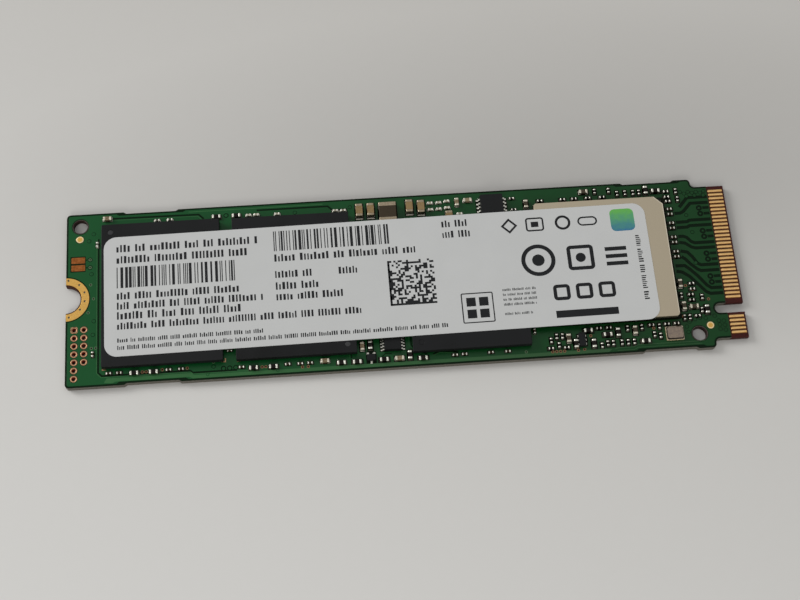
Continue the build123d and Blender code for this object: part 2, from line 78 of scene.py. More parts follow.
back = Vector((
    math.sin(VIEW_AZIMUTH) * math.cos(VIEW_ELEVATION),
    -math.cos(VIEW_AZIMUTH) * math.cos(VIEW_ELEVATION),
    math.sin(VIEW_ELEVATION),
))
level_right = Vector((0, 0, 1)).cross(back).normalized()
level_up = back.cross(level_right)
right = math.cos(VIEW_ROLL) * level_right + math.sin(VIEW_ROLL) * level_up
up = math.cos(VIEW_ROLL) * level_up - math.sin(VIEW_ROLL) * level_right
lens = bpy.data.cameras.new("camera")
lens.lens = LENS_MM
lens.sensor_width = SENSOR_MM
lens.clip_start = 1 * MM
camera = bpy.data.objects.new("camera", lens)
turn = Matrix((right, up, back)).transposed().to_4x4()
camera.matrix_world = Matrix.Translation(VIEW_TARGET + back * VIEW_DISTANCE) @ turn
bpy.context.collection.objects.link(camera)
bpy.context.scene.camera = camera
print("camera at, in mm:", in_mm(camera.location))

# %% [markdown]
# ## Small helpers for finishes
# Colours are written as they look on a screen, in hex, and one function turns them into the
# linear values that a shader needs. Another adds a node with its settings and links, so that
# each finish reads as a short recipe. Where a whole node is named as a link, its first output
# is meant. Pattern sizes are given in millimetres.

# %% Colour and node helpers
def linear(hex_colour):
    """The linear colour of a screen colour such as #2f6b3a."""
    channels = [int(hex_colour[i:i + 2], 16) / 255 for i in (1, 3, 5)]
    return [c / 12.92 if c <= 0.04045 else ((c + 0.055) / 1.055) ** 2.4 for c in channels] + [1]


def link(tree, node, sources):
    """Link nodes, or single outputs of theirs, to the named inputs of a node."""
    for name, source in sources.items():
        output = source.outputs[0] if isinstance(source, bpy.types.Node) else source
        tree.links.new(output, node.inputs[name])


def add(tree, kind, values=None, links=None, stops=(), **settings):
    """Add a node, set its settings, input values and colour stops, and link others to it."""
    node = tree.nodes.new("ShaderNode" + kind)
    for name, value in settings.items():
        setattr(node, name, value)
    for name, value in (values or {}).items():
        node.inputs[name].default_value = value
    if stops:
        for stop, (position, colour) in zip(node.color_ramp.elements, stops):
            stop.position, stop.color = position, linear(colour)
    link(tree, node, links or {})
    return node


def new_finish(name, **surface):
    """A material with these shader values, with its nodes, its shader and the object's space."""
    material = bpy.data.materials.new(name)
    material.use_nodes = True
    tree = material.node_tree
    shader = tree.nodes["Principled BSDF"]
    for socket, value in surface.items():
        socket = socket.replace("_", " ").title().replace("Ior", "IOR")
        shader.inputs[socket].default_value = value
    return material, tree, shader, add(tree, "TexCoord").outputs["Object"]


def per_mm(size):
    """The texture scale at which a pattern repeats about once in this many millimetres."""
    return 1 / (size * MM)


def wave_per_mm(period):
    """The same for a wave texture, whose bands are pi / 10 apart at scale 1."""
    return math.pi / 10 / (period * MM)


print("a mid grey in linear:", [round(c, 3) for c in linear("#808080")])

# %% [markdown]
# ## Green solder mask over copper
# Solder mask is a thin epoxy ink, cured to a gloss. Over copper it looks a brighter green,
# because the metal under it throws light back. A flat green would look like paint, so a slow
# noise varies the thickness of the ink, and a fine one gives the slight orange peel.

# %% Solder mask finishes
def solder_mask(name, screw_end_colour, contact_end_colour, gloss, specular):
    """Ink whose green is brighter at the screw end and darker towards the contacts."""
    material, tree, shader, place = new_finish(name, roughness=gloss, specular_ior_level=specular)
    cloud = add(tree, "TexNoise", {"Scale": per_mm(2.4), "Detail": 4}, {"Vector": place})
    parts = add(tree, "SeparateXYZ", links={"Vector": place})
    fall = {"From Min": -36 * MM, "From Max": 24 * MM, "To Min": 1.0, "To Max": 0.15}
    along = add(tree, "MapRange", fall, {"Value": parts})
    patch = add(tree, "Math", {1: 0.35}, {0: cloud}, operation="MULTIPLY")
    level = add(tree, "Math", links={0: along, 1: patch}, operation="ADD")
    tone = add(tree, "ValToRGB", links={"Fac": level}, stops=((0.2, contact_end_colour), (1.0, screw_end_colour)))
    peel = add(tree, "TexNoise", {"Scale": per_mm(0.12), "Detail": 2}, {"Vector": place})
    bump = add(tree, "Bump", {"Strength": 0.25, "Distance": 0.004 * MM}, {"Height": peel})
    link(tree, shader, {"Base Color": tone, "Normal": bump})
    return material


mask_on_copper = solder_mask("solder_mask_on_copper", "#07461e", "#04300d", 0.32, 0.2)
# A paler green on the raised ridges paints the highlight along the pour's edges.
ridge_highlight_mask = solder_mask("solder_mask_painted_highlight_ridges", "#285a2f", "#264226", 0.35, 0.25)
# With no copper behind it the ink is nearly black. Round the parts it is darker and browner still:
# mask where the pour is cleared, darkened further as painted shade round the parts.
mask_on_laminate = solder_mask("solder_mask_on_laminate", "#031a07", "#061508", 0.4, 0.08)
courtyard_mask_and_shade = solder_mask("solder_mask_and_painted_shade_in_courtyard", "#0a170b", "#0d0e06", 0.45, 0.06)
print("masks:", mask_on_copper.name, mask_on_laminate.name, courtyard_mask_and_shade.name)

# %% [markdown]
# ## Glass epoxy laminate
# The board is pressed from layers of woven glass in epoxy resin, with copper foils between.
# Its cut edges are a dull grey-brown with fine lines where the layers are, and the bare tongue
# is a deep red. An image of a cut board would show that too, but a wave along the height draws
# the layers at their real spacing on every wall, and a noise gives the ragged grain of cut glass.

# %% Laminate finish
PLY_MM = 0.2


def laminate_finish(name, light, dark):
    """Level layers of glass in resin, with the ragged grain of cut fibres."""
    material, tree, shader, place = new_finish(name, roughness=0.55, specular_ior_level=0.2)
    plies = {"Scale": wave_per_mm(PLY_MM), "Distortion": 1.5, "Detail": 2, "Detail Scale": 3}
    layers = add(tree, "TexWave", plies, {"Vector": place}, bands_direction="Z")
    grain = add(tree, "TexNoise", {"Scale": per_mm(0.25), "Detail": 4}, {"Vector": place})
    half = add(tree, "Math", {1: 0.5}, {0: layers.outputs["Fac"]}, operation="MULTIPLY")
    blend = add(tree, "Math", links={0: half, 1: grain}, operation="ADD")
    tone = add(tree, "ValToRGB", links={"Fac": blend}, stops=((0.35, dark), (0.95, light)))
    bump = add(tree, "Bump", {"Strength": 0.4, "Distance": 0.006 * MM}, {"Height": blend})
    link(tree, shader, {"Base Color": tone, "Normal": bump})
    return material


laminate = laminate_finish("routed_glass_epoxy_edge", "#6b675d", "#423f38")
bare_laminate = laminate_finish("bare_glass_epoxy_tongue", "#400d06", "#1f0502")
print("laminate layers every", PLY_MM, "mm")

# %% [markdown]
# ## Plated and bare metals
# Every metal here is a thin plated or soldered layer, never polished. Each one gets its own
# colour and roughness, a fine grain that moves the roughness, and a slight bump, so that its
# highlight breaks up as on the real thing. One recipe serves for all, because only the colour,
# the roughness and the size of the grain differ.

# %% One recipe for metals
def metal(name, light, dark, roughness, grain_mm, stretch=(1, 1, 1), relief=0.002):
    """A metal with a fine grain, which is drawn out along an axis where stretch is small."""
    material, tree, shader, place = new_finish(name, metallic=1.0)
    lines = add(tree, "Mapping", {"Scale": stretch}, {"Vector": place})
    grain = add(tree, "TexNoise", {"Scale": per_mm(grain_mm), "Detail": 5}, {"Vector": lines})
    tone = add(tree, "ValToRGB", links={"Fac": grain}, stops=((0.3, dark), (0.7, light)))
    spread = {"To Min": roughness - 0.08, "To Max": roughness + 0.08}
    rough = add(tree, "MapRange", spread, {"Value": grain})
    bump = add(tree, "Bump", {"Strength": 0.3, "Distance": relief * MM}, {"Height": grain})
    link(tree, shader, {"Base Color": tone, "Roughness": rough, "Normal": bump})
    return material


print("finishes so far:", len(bpy.data.materials))

# %% [markdown]
# ## Gold, copper, tin, solder and nickel
# A board shows many metals side by side: pads dipped in gold, bare copper, tinned ends, solder
# and nickel cans. One grey and one yellow could serve for all, but new, worn and heated metal
# differ in colour, and that is what makes such a board look real.

# %% Gold, copper, tin, solder and nickel
# Soft gold plated by dipping stays satin and pale. Where it was rubbed or heated it goes brown,
# and a brown gold paints the shade on the contacts' front flanks.
pad_gold = metal("immersion_gold_plate", "#dfb466", "#c6984b", 0.34, 0.12)
pale_gold = metal("pale_gold_disc_rim", "#efdcae", "#dcc48e", 0.34, 0.12)
flank_shade_gold = metal("gold_flank_painted_shade", "#96683a", "#6a4524", 0.4, 0.15)
worn_gold = metal("worn_gold_rim", "#ecdcc4", "#5a4636", 0.4, 0.35)
# Bare copper darkens in air. In the thinly plated holes it stays pinker.
oxidised_copper = metal("oxidised_copper", "#9c6034", "#764420", 0.45, 0.3)
barrel_copper = metal("plated_barrel_copper", "#c19876", "#9e7759", 0.42, 0.12)
via_copper = metal("via_copper", "#a9805f", "#70503a", 0.5, 0.1)
# Matt tin is a soft white on new chips and a warm grey on the older, larger ones.
tin = metal("matt_tin_plate", "#eeede2", "#c9c8ba", 0.36, 0.08)
lead_tin = metal("trimmed_lead_tin", "#cfcec4", "#a5a49a", 0.34, 0.08)
worn_tin = metal("worn_tin_plate", "#dfdac9", "#b4ad99", 0.38, 0.15)
aged_tin = metal("aged_tin_plate", "#aa9c86", "#857864", 0.4, 0.12)
# Solder is bright on the balls and the larger parts, and dark on the small chips.
solder = metal("reflowed_solder", "#bdb9ae", "#89857b", 0.35, 0.1)
dull_solder = metal("dull_reflowed_solder", "#5c5a50", "#34322b", 0.42, 0.1)
# Cans are nickel-plated and satin on the face, and the crystal's is sealed at the edge. A brighter
# nickel paints the highlight along the lid's edge.
nickel = metal("stamped_nickel_plate", "#bdb29c", "#b0a48e", 0.46, 0.05, relief=0.001)
highlight_nickel = metal("nickel_painted_highlight", "#f2ead8", "#d9cfba", 0.4, 0.1)
crystal_metal = metal("seam_sealed_kovar", "#978878", "#80736a", 0.45, 0.25)
print("finishes so far:", len(bpy.data.materials))

# %% [markdown]
# ## Hard gold
# The contacts are plated with a harder gold. It has been pushed into sockets, which leaves fine
# lines along each contact, and the plating builds up a low crest along the middle. The crest
# could be modelled, but a wave across the row with the pitch of the contacts does it in one
# bump. The lower row lies half a pitch off, so its wave starts half a turn later.

# %% Hard gold finish
CONTACT_PITCH = 0.5


def hard_gold(name, crest):
    """Gold whose surface rises to a low crest along the middle of each contact."""
    material = metal(name, "#f8ce92", "#deae68", 0.26, 0.1, stretch=(0.12, 1, 1))
    tree = material.node_tree
    place = tree.nodes["Texture Coordinate"].outputs["Object"]
    rows = {"Scale": wave_per_mm(CONTACT_PITCH), "Phase Offset": crest}
    crown = add(tree, "TexWave", rows, {"Vector": place}, bands_direction="Y").outputs["Fac"]
    rise = {"Strength": 1.0, "Distance": 0.05 * MM}
    bump = add(tree, "Bump", rise, {"Height": crown, "Normal": tree.nodes["Bump"]})
    link(tree, tree.nodes["Principled BSDF"], {"Normal": bump})
    return material


upper_gold = hard_gold("hard_gold_plate_upper", 0.0)
lower_gold = hard_gold("hard_gold_plate_lower", math.pi)
print("contact finishes:", upper_gold.name, lower_gold.name)

# %% [markdown]
# ## Moulded and fired bodies
# The packages are moulded from black epoxy filled with silica grains, which gives a dark,
# slightly sparkling grey. Capacitors are fired ceramic, smooth and tan or dark. Both are a
# colour that a fine noise varies, with a bump of the same grain. The same recipe makes the cut
# laminate and the resin in the vias, since they are matt, grained and not metal too.

# %% Moulded and ceramic finishes
def body_finish(name, light, dark, roughness=0.4, grain_mm=0.2, relief=0.003, specular=0.2):
    """A moulded or fired body: one colour, varied by its grain and by a slow drift."""
    surface = {"roughness": roughness, "specular_ior_level": specular}
    material, tree, shader, place = new_finish(name, **surface)
    grain = add(tree, "TexNoise", {"Scale": per_mm(grain_mm), "Detail": 6}, {"Vector": place})
    drift = add(tree, "TexNoise", {"Scale": per_mm(6), "Detail": 2}, {"Vector": place})
    both = add(tree, "Math", links={0: grain, 1: drift}, operation="ADD")
    tone = add(tree, "ValToRGB", links={"Fac": both}, stops=((0.75, dark), (1.0, light)))
    bump = add(tree, "Bump", {"Strength": 0.5, "Distance": relief * MM}, {"Height": grain})
    link(tree, shader, {"Base Color": tone, "Normal": bump})
    return material


mould = body_finish("silica_filled_epoxy_mould", "#161718", "#0c0d0d", 0.5, 0.09, 0.006, 0.15)
polished_mould = body_finish(
    "ejector_polished_mould", "#2a2b2c", "#202122", 0.35, 0.2, 0.001, 0.4
)
# Fired ceramic is smooth. Its colour tells its filling, from tan to nearly black.
tan_ceramic = body_finish("fired_tan_ceramic", "#7f6a48", "#6c5838", grain_mm=0.15)
brown_ceramic = body_finish("fired_brown_ceramic", "#332a1c", "#261f14", 0.42)
dark_ceramic = body_finish(
    "glazed_resistor_ceramic", "#15110d", "#0b0806", 0.35, 0.15, 0.002, 0.12
)
medium_ceramic = body_finish("fired_grey_brown_ceramic", "#7d7058", "#614f3a")
small_ceramic = body_finish("fired_pale_ceramic", "#a8a291", "#6f6857")
tray_ceramic = body_finish("gilded_tray_ceramic", "#d3bd94", "#3c2e1f", 0.45, 0.22, 0.003, 0.3)
# A cutter scorches the laminate brown, a drill leaves it darker, and flux stains it red. The
# scorched brown also serves as painted shade between the contacts.
scorched_and_shade = body_finish("scorched_laminate_and_painted_shade", "#3a1609", "#1c0a04", 0.55, 0.2, 0.003, 0.15)
drilled_wall = body_finish("drilled_laminate_wall", "#25110b", "#120806", 0.5, 0.2, 0.003, 0.15)
stained_wall = body_finish("flux_stained_hole_wall", "#8a1e10", "#5c0f07", 0.5, 0.1, 0.002)
# Under the parts are ink, resin, green substrate and grey silicon, all matt.
rim_mask = body_finish("cured_mask_over_via", "#4d6a48", "#35512f", 0.35, 0.1, 0.002, 0.3)
substrate = body_finish("package_substrate", "#0d140f", "#070b08", 0.45, 0.3, 0.003, 0.1)
silicon = body_finish("back_ground_silicon", "#55585c", "#45484c", 0.3, 0.4, 0.001, 0.5)
plug_resin_and_shade = body_finish("resin_plug_and_painted_shade", "#120c08", "#0a0705", 0.6, 0.1, 0.004)
print("finishes so far:", len(bpy.data.materials))

# %% [markdown]
# ## Chips from two reels
# A machine sets the chips from reels, and two reels are seldom of one tone. The medium
# capacitors near the connector are darker than the rest, and so are the small pale ones at the
# screw end. They could be four materials, but a step in the tone along the board keeps each
# group to one.

# %% Change the tone along the board
REELS = ((medium_ceramic, 12.0, 1.0, 0.22), (small_ceramic, -22.0, 0.2, 1.0))
for ceramic, reel_end, before, after in REELS:
    tree = ceramic.node_tree
    shader = tree.nodes["Principled BSDF"]
    fired = shader.inputs["Base Color"].links[0].from_socket
    place = tree.nodes["Texture Coordinate"].outputs["Object"]
    parts = add(tree, "SeparateXYZ", links={"Vector": place})
    step = {"From Min": reel_end * MM, "From Max": (reel_end + 0.1) * MM}
    reel = add(tree, "MapRange", {**step, "To Min": before, "To Max": after}, {"Value": parts})
    toned = add(tree, "HueSaturation", links={"Color": fired, "Value": reel})
    link(tree, shader, {"Base Color": toned})
print("groups from two reels:", len(REELS))

# %% [markdown]
# ## Label film and ink
# The label is a matt white film, calendered smooth, with black thermal print on it. Under the
# print it shows a very faint cloud, and it sags by a few microns between the packages, so a
# slow bump follows that. The ink is dull and very dark.

# %% Label finishes
film_surface = {"roughness": 0.5, "specular_ior_level": 0.3}
label_film, tree, shader, place = new_finish("matt_label_film", **film_surface)
cloud = add(tree, "TexNoise", {"Scale": per_mm(3), "Detail": 5}, {"Vector": place})
white = ((0.0, "#b2b3b2"), (1.0, "#b8b9b8"))
tone = add(tree, "ValToRGB", links={"Fac": cloud}, stops=white)
fibre = add(tree, "TexNoise", {"Scale": per_mm(0.15), "Detail": 3}, {"Vector": place})
sag = add(tree, "TexNoise", {"Scale": per_mm(9), "Detail": 1}, {"Vector": place})
fine = add(tree, "Bump", {"Strength": 0.2, "Distance": 0.003 * MM}, {"Height": fibre})
waves = {"Strength": 0.3, "Distance": 0.15 * MM}
slow = add(tree, "Bump", waves, {"Height": sag, "Normal": fine})
link(tree, shader, {"Base Color": tone, "Normal": slow})

ink_surface = {"roughness": 0.5, "specular_ior_level": 0.2}
ink, tree, shader, place = new_finish("thermal_print_ink", **ink_surface)
speck = add(tree, "TexNoise", {"Scale": per_mm(0.08), "Detail": 3}, {"Vector": place})
black = ((0.0, "#0b0c0e"), (1.0, "#1c1e20"))
tone = add(tree, "ValToRGB", links={"Fac": speck}, stops=black)
link(tree, shader, {"Base Color": tone})
print("finishes so far:", len(bpy.data.materials))

# %% [markdown]
# ## Outlines
# Most of the board is flat and cut to an outline, so a few functions give the points of arcs,
# boxes and strips in millimetres. Blender has such curves ready-made, but plain lists of points
# can be joined, mirrored and turned before anything is built.

# %% Outline helpers
def arc(x, y, radius, start, stop, steps=8):
    """Points along a circle, from one angle to another in degrees."""
    angles = [math.radians(start + (stop - start) * i / steps) for i in range(steps + 1)]
    return [(x + radius * math.cos(a), y + radius * math.sin(a)) for a in angles]


def circle(x, y, radius, steps=20):
    """A closed circle."""
    return arc(x, y, radius, 0, 360 * (1 - 1 / steps), steps - 1)


def circles(spots, radius, steps=20):
    """One closed circle round each spot."""
    return [circle(x, y, radius, steps) for x, y in spots]


def rectangle(x_low, x_high, y_low, y_high):
    """The four corners, from the lowest one round."""
    return [(x_low, y_low), (x_high, y_low), (x_high, y_high), (x_low, y_high)]


def strip(path, width):
    """The outline of a strip of one width along a path, with its corners mitred."""
    path = [Vector(p) for p in path]
    ways = [(b - a).normalized() for a, b in zip(path, path[1:])]
    left, right = [], []
    for point, before, after in zip(path, ways[:1] + ways, ways + ways[-1:]):
        mitre = (before + after).normalized()
        across = Vector((-mitre.y, mitre.x)) * width / 2 / max(mitre.dot(after), 0.5)
        left.append(point + across)
        right.append(point - across)
    return [tuple(p) for p in left + right[::-1]]


def rounded_box(x_low, x_high, y_low, y_high, radius, steps=5):
    """A rectangle with rounded corners."""
    corners = ((x_high, y_low, 270), (x_high, y_high, 0), (x_low, y_high, 90), (x_low, y_low, 180))
    points = []
    for x, y, start in corners:
        cx = x - radius if x == x_high else x + radius
        cy = y - radius if y == y_high else y + radius
        points += arc(cx, cy, radius, start, start + 90, steps)
    return points


print("a strip has", len(strip([(0, 0), (1, 0), (1, 1)], 0.2)), "corners")

# %% [markdown]
# ## Flat pieces cut to an outline
# Copper, mask, pads and the label are all flat sheets with holes. A filled 2D curve makes one
# from its outlines, cuts the holes by itself and rounds the edge with its bevel. The curve is
# drawn in whole millimetres and shrunk afterwards, because Blender's fill joins points that are
# closer than a few hundredths of a unit.

# %% Sheet helpers
def place_mesh(name, mesh, material, smooth=35):
    """Make an object of a mesh drawn in millimetres, fixed to the board."""
    mesh.transform(Matrix.Scale(MM, 4))
    mesh.materials.clear()
    mesh.materials.append(material)
    piece = bpy.data.objects.new(name, mesh)
    bpy.context.collection.objects.link(piece)
    if smooth:
        mesh.shade_smooth()
        mesh.set_sharp_from_angle(angle=math.radians(smooth))
    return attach(piece, "root")


def sheet(name, outlines, low, high, material, edge=0.0):
    """A flat piece between two heights; an outline inside another one is a hole."""
    curve = bpy.data.curves.new(name, "CURVE")
    curve.dimensions = "2D"
    curve.fill_mode = "BOTH"
    for outline in outlines:
        spline = curve.splines.new("POLY")
        spline.points.add(len(outline) - 1)
        spline.use_cyclic_u = True
        for point, (x, y) in zip(spline.points, outline):
            point.co = (x, y, 0, 1)
    curve.extrude = (high - low) / 2 - edge
    curve.bevel_depth = edge
    curve.bevel_resolution = 1
    curve.offset = -edge
    drawn = bpy.data.objects.new(name, curve)
    bpy.context.collection.objects.link(drawn)
    filled = drawn.evaluated_get(bpy.context.evaluated_depsgraph_get())
    mesh = bpy.data.meshes.new_from_object(filled)
    bpy.data.objects.remove(drawn)
    mesh.transform(Matrix.Translation((0, 0, (low + high) / 2)))
    return place_mesh(name, mesh, material)


def plate(name, outlines, low, high, material, slot, *stands_for, edge=0.012):
    """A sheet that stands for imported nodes."""
    piece = sheet(name, outlines, low, high, material, edge)
    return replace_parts(piece, *stands_for)


# %% [markdown]
# ## The board's outline
# The same outline serves for the laminate and, drawn in by a quarter of a millimetre, for the
# copper under the mask. It has a half-round notch at one end, two shallow bays in each long
# edge, and a narrower tongue with a key slot at the other end. One half is drawn and mirrored,
# so that both sides match. All lengths are in millimetres.

# %% Draw the outline
LEFT_END, SHOULDER, NOSE = -40, 36, 40
HALF_WIDTH, BAY_HALF_WIDTH, TONGUE_HALF_WIDTH = 11, 10.8, 9.925
BAYS = ((-33.3, -26.55), (27.25, 34.0))
CORNER_RADIUS, NOTCH_RADIUS = 0.5, 1.75
KEY_X, KEY_Y, KEY_RADIUS = 37.1, -6.125, 0.6
TOOLING_HOLES = [(-38.35, 9.35), (34.2, -9.15)]
HEADER_HOLES = [(-38.97, -3.9 - row) for row in range(7)]
HEADER_HOLES += [(-37.84, -3.9 - row) for row in range(5)]
FIDUCIALS = [(-38.4, 7.67), (35.63, -8.2)]

# Heights above the underside.
LOWER_POUR, CORE_LOW, TONGUE_LOW = 0.012, 0.035, 0.04
TONGUE_TOP, CORE_TOP, BOARD_TOP = 0.76, 0.765, 0.8
POUR_TOP, RIDGE_TOP, PAD_TOP = 0.822, 0.829, 0.83


def board_outline(inset, notch_radius, tongue_end, bay_spread=0.0):
    """The outline, drawn in by an inset, with its bays widened by a spread."""
    edge, bay = HALF_WIDTH - inset, BAY_HALF_WIDTH - inset
    side = TONGUE_HALF_WIDTH - inset
    end, shoulder = LEFT_END + inset, SHOULDER - inset
    corner, hollow = max(CORNER_RADIUS - inset, 0.1), CORNER_RADIUS + inset
    lower = arc(end + corner, -edge + corner, corner, 180, 270)
    for low, high in BAYS:
        low, high = low - bay_spread, high + bay_spread
        lower += [(low + 0.07, -edge), (low + 0.4, -bay), (high - 0.4, -bay), (high - 0.07, -edge)]
    lower += arc(shoulder - corner, -edge + corner, corner, 270, 360)
    lower += arc(shoulder + hollow, -side - hollow, hollow, 180, 90)
    lower += [(tongue_end, -side)]
    slot = [(tongue_end, KEY_Y - KEY_RADIUS - inset)]
    slot += arc(KEY_X, KEY_Y, KEY_RADIUS + inset, 270, 90, 12)
    slot += [(tongue_end, KEY_Y + KEY_RADIUS + inset)]
    upper = [(x, -y) for x, y in reversed(lower)]
    reach = math.degrees(math.acos(inset / notch_radius))
    notch = arc(LEFT_END, 0, notch_radius, reach, -reach, 24)
    return lower + slot + upper + notch


print("outline corners:", len(board_outline(0, NOTCH_RADIUS, NOSE)))

# %% [markdown]
# ## Laminate and mask base
# The laminate carries everything. It is laid up here from three sheets, as a board shop would
# do it: the core with its holes and notch, the thinner tongue that goes into the socket, and a
# skin of dark mask on each face where there is no copper.

# %% Lay up the board
tooling = circles(TOOLING_HOLES, 0.9, 32)
header = circles(HEADER_HOLES, 0.225, 16)
core_outline = [board_outline(0, NOTCH_RADIUS, 37.9)] + tooling + header
plate("laminate_core", core_outline, CORE_LOW, CORE_TOP, laminate, "solder_mask",
      "circuit_board", edge=0)
tongue_sides = (
    (-TONGUE_HALF_WIDTH, KEY_Y - KEY_RADIUS), (KEY_Y + KEY_RADIUS, TONGUE_HALF_WIDTH)
)
tongue = [rectangle(37.8, NOSE, low, high) for low, high in tongue_sides]
sheet("laminate_tongue", tongue, TONGUE_LOW, TONGUE_TOP, bare_laminate, edge=0.07)
open_holes = circles(TOOLING_HOLES, 0.96, 32) + header
skin = [board_outline(0.03, 2.6, 37.88)] + open_holes
for face, low, high in (("top", CORE_TOP, BOARD_TOP), ("bottom", LOWER_POUR, CORE_LOW)):
    sheet("mask_base_" + face, skin, low, high, mask_on_laminate, edge=0.008)
print("board laid up, holes:", len(open_holes))

# %% [markdown]
# ## Copper pours and traces under the mask
# The mask shows what the copper does below it: broad pours with narrow dark gaps, and pairs of
# data lines that run from the contacts to small capacitors. Bumps in a texture could hint at
# that, but here the raised mask is its own sheet with the gaps cut out, so that each edge
# catches the light and nothing swims when the view turns. A gap is a path and a width. Two gaps
# may not cross, because the fill would take their overlap for copper again.

# %% Draw the gaps between pours
gaps = [
    strip([(-36.17, 7.6), (-36.17, -9.33), (-35.75, -9.75), (-25.6, -9.75), (-25.3, -10.02),
           (-20.2, -10.02)], 0.22),
    strip([(-34.6, 10.2), (-24.2, 10.1), (-23.6, 9.5)], 0.22),
    strip([(-17.2, 10.2), (-8.6, 10.2), (-8.1, 9.7), (-8.1, 9.2)], 0.22),
    strip([(-7.4, -8.1), (-6.9, -8.9), (-6.9, -9.5)], 0.12),
    strip([(0.15, -7.3), (0.15, -8.35), (0.75, -9.05), (1.9, -9.5)], 0.14),
    strip([(0.0, -8.55), (0.5, -9.35)], 0.1),
    strip([(-3.35, -9.55), (-2.95, -9.2), (-2.2, -9.25)], 0.1),
    strip([(2.6, -9.62), (3.4, -9.3), (4.9, -9.42), (5.6, -9.6)], 0.2),
]
print("gaps between pours:", len(gaps))

# %% [markdown]
# ## Data lines and their vias
# Pairs of lines leave the contacts and bend together towards the small capacitors, since the
# two halves of a signal have to arrive at one time. Each starts level at the contacts, so only
# its further points are written down. Between the pairs sit vias, each with a short link.

# %% Draw the data lines and their vias
LINES_START = 37.8
data_lines = [
    [(35.3, 8.52), (34.2, 7.3)],
    [(35.6, 7.75), (34.6, 6.7), (34.2, 6.52), (33.5, 6.5)],
    [(35.2, 5.5), (34.9, 5.32), (33.5, 5.3)],
    [(35.1, 4.77), (34.8, 4.6), (33.5, 4.58)],
    [(35.4, 2.47), (35.0, 2.65), (34.5, 3.25), (34.1, 3.42), (33.5, 3.42)],
    [(35.4, 1.78), (34.9, 1.95), (34.2, 2.5), (33.5, 2.65)],
    [(35.7, -0.45), (35.3, -0.2), (34.8, 0.7), (34.3, 1.3), (33.5, 1.5)],
    [(35.6, -1.2), (35.2, -0.98), (34.5, -0.3), (33.9, 0.45), (33.5, 0.75)],
    [(36.5, -3.48), (36.0, -3.1), (35.1, -1.85), (34.2, -0.85), (33.7, -0.42), (32.6, -0.4)],
    [(36.3, -4.2), (35.8, -3.95), (35.0, -2.95), (34.1, -1.85), (33.3, -1.25), (32.6, -1.1)],
]
gaps += [strip([(LINES_START, line[0][1])] + line, 0.41) for line in data_lines]
PAIRED_VIAS = [spot for y in (7.06, 4.0, 1.0, -1.98) for spot in ((36.6, y), (36.66, y - 0.76))]
for x, y in PAIRED_VIAS:
    gaps += [circle(x, y, 0.375), circle(x, y, 0.13)]
    gaps.append(strip([(x + 0.42, y), (LINES_START, y)], 0.36))
PAD_VIAS = [(-37.17, 4.97), (-37.17, 3.97)]
for x, y in PAD_VIAS:
    gaps += [circle(x, y, 0.3), circle(x, y, 0.21), strip([(-37.66, y), (x - 0.33, y)], 0.16)]
print("data lines:", len(data_lines), "vias beside them:", len(PAIRED_VIAS))

# %% [markdown]
# ## Windows in the mask
# The mask stays off the pads, the rings, the discs and the holes, so that solder and a camera
# can reach them. Each window is a little larger than what it bares, as a maker allows for a
# mask that is printed slightly off. The copper itself stops short of every edge and hole.

# %% Cut the upper pour
pad_windows = [rectangle(-39.5, -37.7, 3.46, 5.46)]
ring_windows = circles(HEADER_HOLES, 0.47, 16)
fiducial_windows = circles(FIDUCIALS, 0.5, 24)
tooling_windows = circles(TOOLING_HOLES, 1.04, 32)
windows = tooling_windows + pad_windows + ring_windows + fiducial_windows
pour = [board_outline(0.24, 2.88, 37.86, 0.85)] + windows + gaps
sheet("copper_pour_top", pour, BOARD_TOP, POUR_TOP, mask_on_copper, edge=0.009)
print("outlines in the upper pour:", len(pour))

# %% [markdown]
# ## Ridges along the pour
# Where a trace runs close to a pour's edge, the mask piles up to a fine ridge. Each ridge is a
# thin sheet on the pour, and its paler green paints the highlight that such an edge catches.

# %% Raise the ridges
ridges = [
    strip([(-36.36, 7.6), (-36.36, -9.38), (-35.83, -9.94), (-25.55, -9.94), (-25.25, -10.2),
           (-18.3, -10.2)], 0.07),
    strip([(-34.6, 9.98), (-24.3, 9.88), (-23.9, 9.5)], 0.06),
    strip([(-25.4, 10.5), (-9.2, 10.5)], 0.1),
    strip([(22.1, 10.25), (21.8, 9.95)], 0.08),
    strip([(23.95, -10.42), (24.4, -10.3), (26.2, -10.3), (26.7, -10.08), (34.6, -10.08)], 0.08),
    strip([(24.2, -10.64), (26.2, -10.64), (26.7, -10.4), (34.3, -10.4)], 0.06),
    strip([(-0.1, -7.3), (-0.1, -8.4), (0.55, -9.17), (1.8, -9.68)], 0.06),
    strip([(2.5, -9.8), (3.35, -9.48), (4.9, -9.6), (5.7, -9.8)], 0.06),
    strip([(-7.6, -8.0), (-7.12, -8.85), (-7.12, -9.5)], 0.05),
]
edge_bus = [
    (-35.5, -10.62), (-35.2, -10.06), (-25.45, -10.06), (-25.2, -10.32), (22.8, -10.32),
    (23.6, -10.44), (23.2, -10.74), (-25.3, -10.74), (-25.7, -10.52), (-34.2, -10.52),
    (-34.5, -10.7),
]
ridges.append(edge_bus)
sheet("painted_highlight_ridges_top", ridges, POUR_TOP, RIDGE_TOP, ridge_highlight_mask, edge=0.003)
print("ridges:", len(ridges))

# %% [markdown]
# ## The underside
# Nobody sees it in a laptop, and on this board it carries no parts. It still has its pour, the
# second row of contacts, the lower half ring and a scatter of test pads, which a tester touches
# with needles. The pads lie in a loose grid, as a layout program leaves them.

